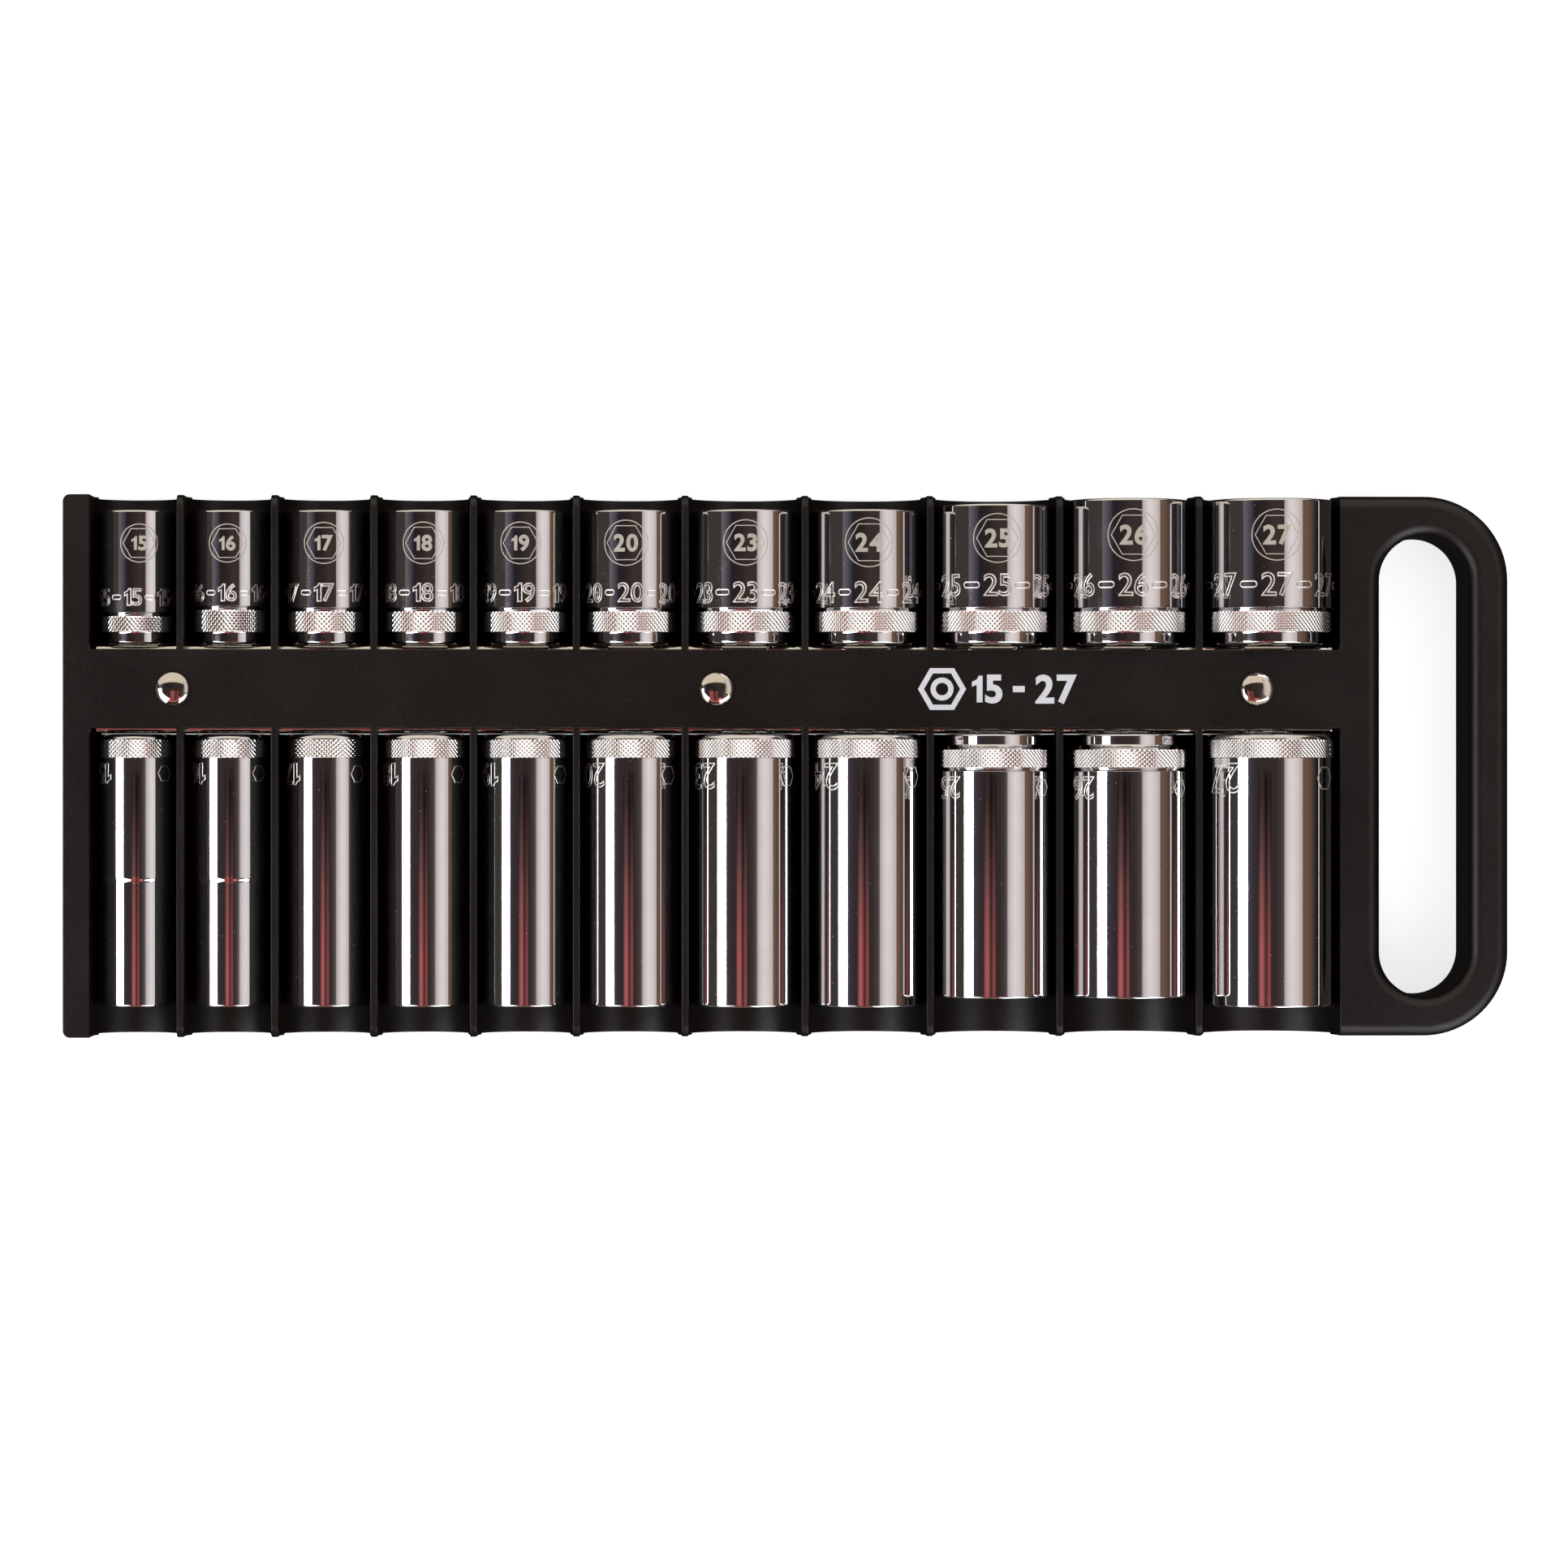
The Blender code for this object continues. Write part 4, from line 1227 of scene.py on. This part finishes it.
def white_table():
    """Matt white paper, lifted a little for what is seen directly, so that it prints white."""
    made, nodes, shader = new_material("white_table")
    shader.inputs["Base Color"].default_value = (0.93, 0.93, 0.93, 1.0)
    shader.inputs["Roughness"].default_value = 0.9
    shader.inputs["Specular IOR Level"].default_value = 0.1
    shader.inputs["Emission Color"].default_value = (*WHITE, 1.0)
    join(spread(seen_directly(nodes), 0.0, TABLE_LIFT, 0.0, 1.0), shader.inputs["Emission Strength"])
    return made


def stage_sheet(name, corners, material):
    mesh = bpy.data.meshes.new(name)
    mesh.from_pydata(corners, [], [list(range(len(corners)))])
    mesh.materials.append(material)
    made = linked(name, mesh)
    return made


def flat_sheet(half_x, half_y, z):
    return [(-half_x, -half_y, z), (half_x, -half_y, z), (half_x, half_y, z), (-half_x, half_y, z)]


stage_sheet("table", flat_sheet(half_x=3.0, half_y=3.0, z=0.0), white_table())
world = bpy.data.worlds.new("studio")
world.use_nodes = True
SCENE.world = world
sky = world.node_tree.nodes
background = sky["Background"]
background.inputs["Color"].default_value = (*WHITE, 1.0)
join(spread(seen_directly(sky), SOFT_LIGHT, 1.0, 0.0, 1.0), background.inputs["Strength"])
SCENE.view_settings.view_transform = "Standard"


# %% Glows that may change along an axis
def glow(name, colour, strength, soft=None):
    """A glow, with another strength for soft light if that is given."""
    made, nodes, shader = new_material(name)
    nodes.remove(shader)
    light = nodes.new("ShaderNodeEmission")
    light.inputs["Color"].default_value = (*colour, 1.0)
    light.inputs["Strength"].default_value = strength
    if soft is not None:
        join(spread(seen_directly(nodes), soft, strength, 0.0, 1.0), light.inputs["Strength"])
    join(light.outputs["Emission"], nodes["Material Output"].inputs["Surface"])
    return made


def bands_along(nodes, axis, bands):
    """A colour that changes along an axis through (place, colour) stops."""
    low, high = bands[0][0], bands[-1][0]
    source, parts, ramp = (nodes.new(f"ShaderNode{kind}") for kind in ("TexCoord", "SeparateXYZ", "ValToRGB"))
    join(source.outputs["Object"], parts.inputs["Vector"])
    join(spread(parts.outputs[axis], 0.0, 1.0, low, high), ramp.inputs["Fac"])
    stops = ramp.color_ramp.elements
    while len(stops) < len(bands):
        stops.new(1.0)
    for stop, (place, colour) in zip(stops, bands):
        stop.position = (place - low) / (high - low)
        stop.color = (*colour, 1.0)
    return ramp.outputs["Color"]


def banded_glow(name, axis, bands):
    made = glow(name, WHITE, 1.0)
    nodes = made.node_tree.nodes
    join(bands_along(nodes, axis, bands), nodes["Emission"].inputs["Color"])
    return made


# %% Cards that the chrome reflects
def card(name, corners, colour=WHITE, strength=1.0, soft=None, finish=None):
    """A flat card that reflections see. It lights the rail only if it has a soft strength."""
    made = stage_sheet(name, corners, finish or glow(name, colour, strength, soft))
    made.visible_camera = False
    made.visible_shadow = False
    made.visible_diffuse = soft is not None
    return made


def card_along(axis, name, near, far, low, high, *look, **finish):
    """A card that runs along X or Y from low to high. Its two edges are points in the other axes."""
    corners = [(low, *near), (high, *near), (high, *far), (low, *far)]
    if axis == "Y":
        corners = [(x, run, z) for run, x, z in corners]
    return card(name, corners, *look, **finish)


# %% The walls and ceilings
DARK, CREAM = (0.043, 0.031, 0.030), (0.86, 0.78, 0.66)
left, right, front, back, top = -2.2, 1.2, -2.0, 2.0, 1.75
DIM_CEILING = banded_glow("dim_ceiling", "X", (
    (-2.20, DARK), (-1.52, (0.075, 0.062, 0.095)), (-1.20, (0.052, 0.042, 0.055)), (-0.90, DARK),
    (0.30, DARK), (0.62, (0.075, 0.055, 0.052)), (0.80, (0.150, 0.125, 0.115)),
))
BROWN_WALL = banded_glow("brown_wall", "Z", (
    (0.00, (0.010, 0.009, 0.009)), (0.15, (0.030, 0.022, 0.020)), (0.32, (0.108, 0.070, 0.050)),
    (0.54, (0.180, 0.105, 0.075)), (1.00, (0.180, 0.105, 0.075)),
))
card_along("Y", "ceiling", (left, top), (right, top), front, back, finish=DIM_CEILING)
card_along("Y", "left_wall", (left, top), (left, 0.0), front, back, (0.055, 0.046, 0.042))
card_along("Y", "right_wall", (right, top), (right, 0.0), front, back, finish=BROWN_WALL)
card_along("X", "front_wall", (front, top), (front, 0.0), left, right, DARK)
card_along("X", "warm_front", (-0.62, 1.5), (-0.83, 0.84), -0.60, 0.40, (0.70, 0.170, 0.148))
card_along("X", "cream_back_wall", (0.55, 1.74), (0.95, 0.0), left, right, CREAM)
BLUISH_CEILING = banded_glow("dim_bluish_ceiling", "X", (
    (-1.99, (0.150, 0.138, 0.150)), (-1.52, (0.100, 0.093, 0.114)), (-1.20, (0.062, 0.058, 0.074)),
    (-0.94, (0.023, 0.019, 0.023)), (-0.33, (0.032, 0.022, 0.022)), (0.17, (0.052, 0.038, 0.033)),
    (0.68, (0.052, 0.035, 0.030)), (0.88, (0.078, 0.054, 0.051)),
))
ends = ((left, 1.70), (right, 1.70))
card_along("Y", "ceiling_over_short_row", *ends, 0.06, 0.50, finish=BLUISH_CEILING)

# %% The soft boxes and the pale panel
card_along("Y", "left_soft_box", (-1.392, 0.761), (-0.858, 0.981), -0.16, 0.05, WHITE, 7.0, 3.4)
front_left = [(-0.858, -0.16, 0.981), (-0.42, -0.52, 1.08), (-0.85, -1.25, 0.25), (-1.392, -0.16, 0.761)]
card("front_left_soft_box", front_left, WHITE, 2.8, 2.6)
front_right = [(0.18, -0.68, 1.05), (0.95, -0.38, 0.85), (1.25, -0.9, 0.2), (0.35, -1.5, 0.2)]
card("front_right_soft_box", front_right, WHITE, 2.8, 2.4)
PALE_PANEL = banded_glow("pale_panel", "Z", (
    (0.273, (0.60, 0.50, 0.47)), (0.40, (0.80, 0.72, 0.70)), (0.57, (0.88, 0.82, 0.81)),
    (0.75, (0.80, 0.73, 0.72)), (1.00, (0.62, 0.55, 0.54)), (1.203, (0.40, 0.35, 0.34)),
))
ends = ((0.557, 1.203), (0.477, 0.273))
card_along("Y", "right_panel", *ends, -0.20, 0.7, WHITE, 1.0, 1.0, finish=PALE_PANEL)

# %% The warm card over the deep row, and a dark sheet of painted shade that hides the white table from the chrome
WARMING = (
    (-0.900, (0.300, 0.090, 0.090)), (-0.110, (0.500, 0.145, 0.145)), (-0.089, (0.500, 0.135, 0.140)),
    (-0.074, (0.400, 0.120, 0.120)), (-0.058, (0.290, 0.110, 0.108)), (-0.042, (0.165, 0.080, 0.078)),
    (-0.011, (0.050, 0.032, 0.030)), (0.000, DARK),
)
STRENGTHS = (
    (-0.37, 0.15), (-0.31, 0.75), (-0.24, 1.0), (-0.17, 0.75), (-0.12, 0.22), (-0.07, 0.22),
    (-0.02, 0.60), (0.03, 0.60), (0.08, 0.12),
)
WARM_CARD = banded_glow("warm_card", "Y", WARMING)
warm_nodes = WARM_CARD.node_tree.nodes
factor = bands_along(warm_nodes, "X", [(x, (share, share, share)) for x, share in STRENGTHS])
join(factor, warm_nodes["Emission"].inputs["Strength"])
ends = ((STRENGTHS[0][0], 1.04), (STRENGTHS[-1][0], 1.04))
card_along("Y", "warm_card", *ends, -0.9, 0.0, finish=WARM_CARD)
# Painted shade: a black sheet that only reflections see, standing in for the shade on the table under the
# rail.
card("painted_table_shade", flat_sheet(half_x=0.75, half_y=0.45, z=0.5 * MM), (0.02, 0.018, 0.017))

# %% [markdown]
# ## The camera
#
# The picture is a top view with a long lens, so parallel walls stay nearly parallel.
# The camera stands a metre and a half above the table, a little to the left of the
# rail's middle, and leans by a degree and a half.
#
# %% The camera
CAMERA_HEIGHT, LENS = 1.5, 119.16
CAMERA_X, CAMERA_Y = -0.0414, -0.0051
AIM = Vector((-0.0006, -0.0051, 0.0))

lens = bpy.data.cameras.new("camera")
lens.lens = LENS
camera = linked("camera", lens)
camera.location = (CAMERA_X, CAMERA_Y, CAMERA_HEIGHT)
looking = (AIM - camera.location).normalized()
across = Vector((1, 0, 0)).cross(looking).cross(looking).normalized() * -1
upward = across.cross(looking)
camera.rotation_euler = Matrix((across, upward, -looking)).transposed().to_euler()
SCENE.camera = camera
print("camera at", [round(v, 3) for v in camera.location])
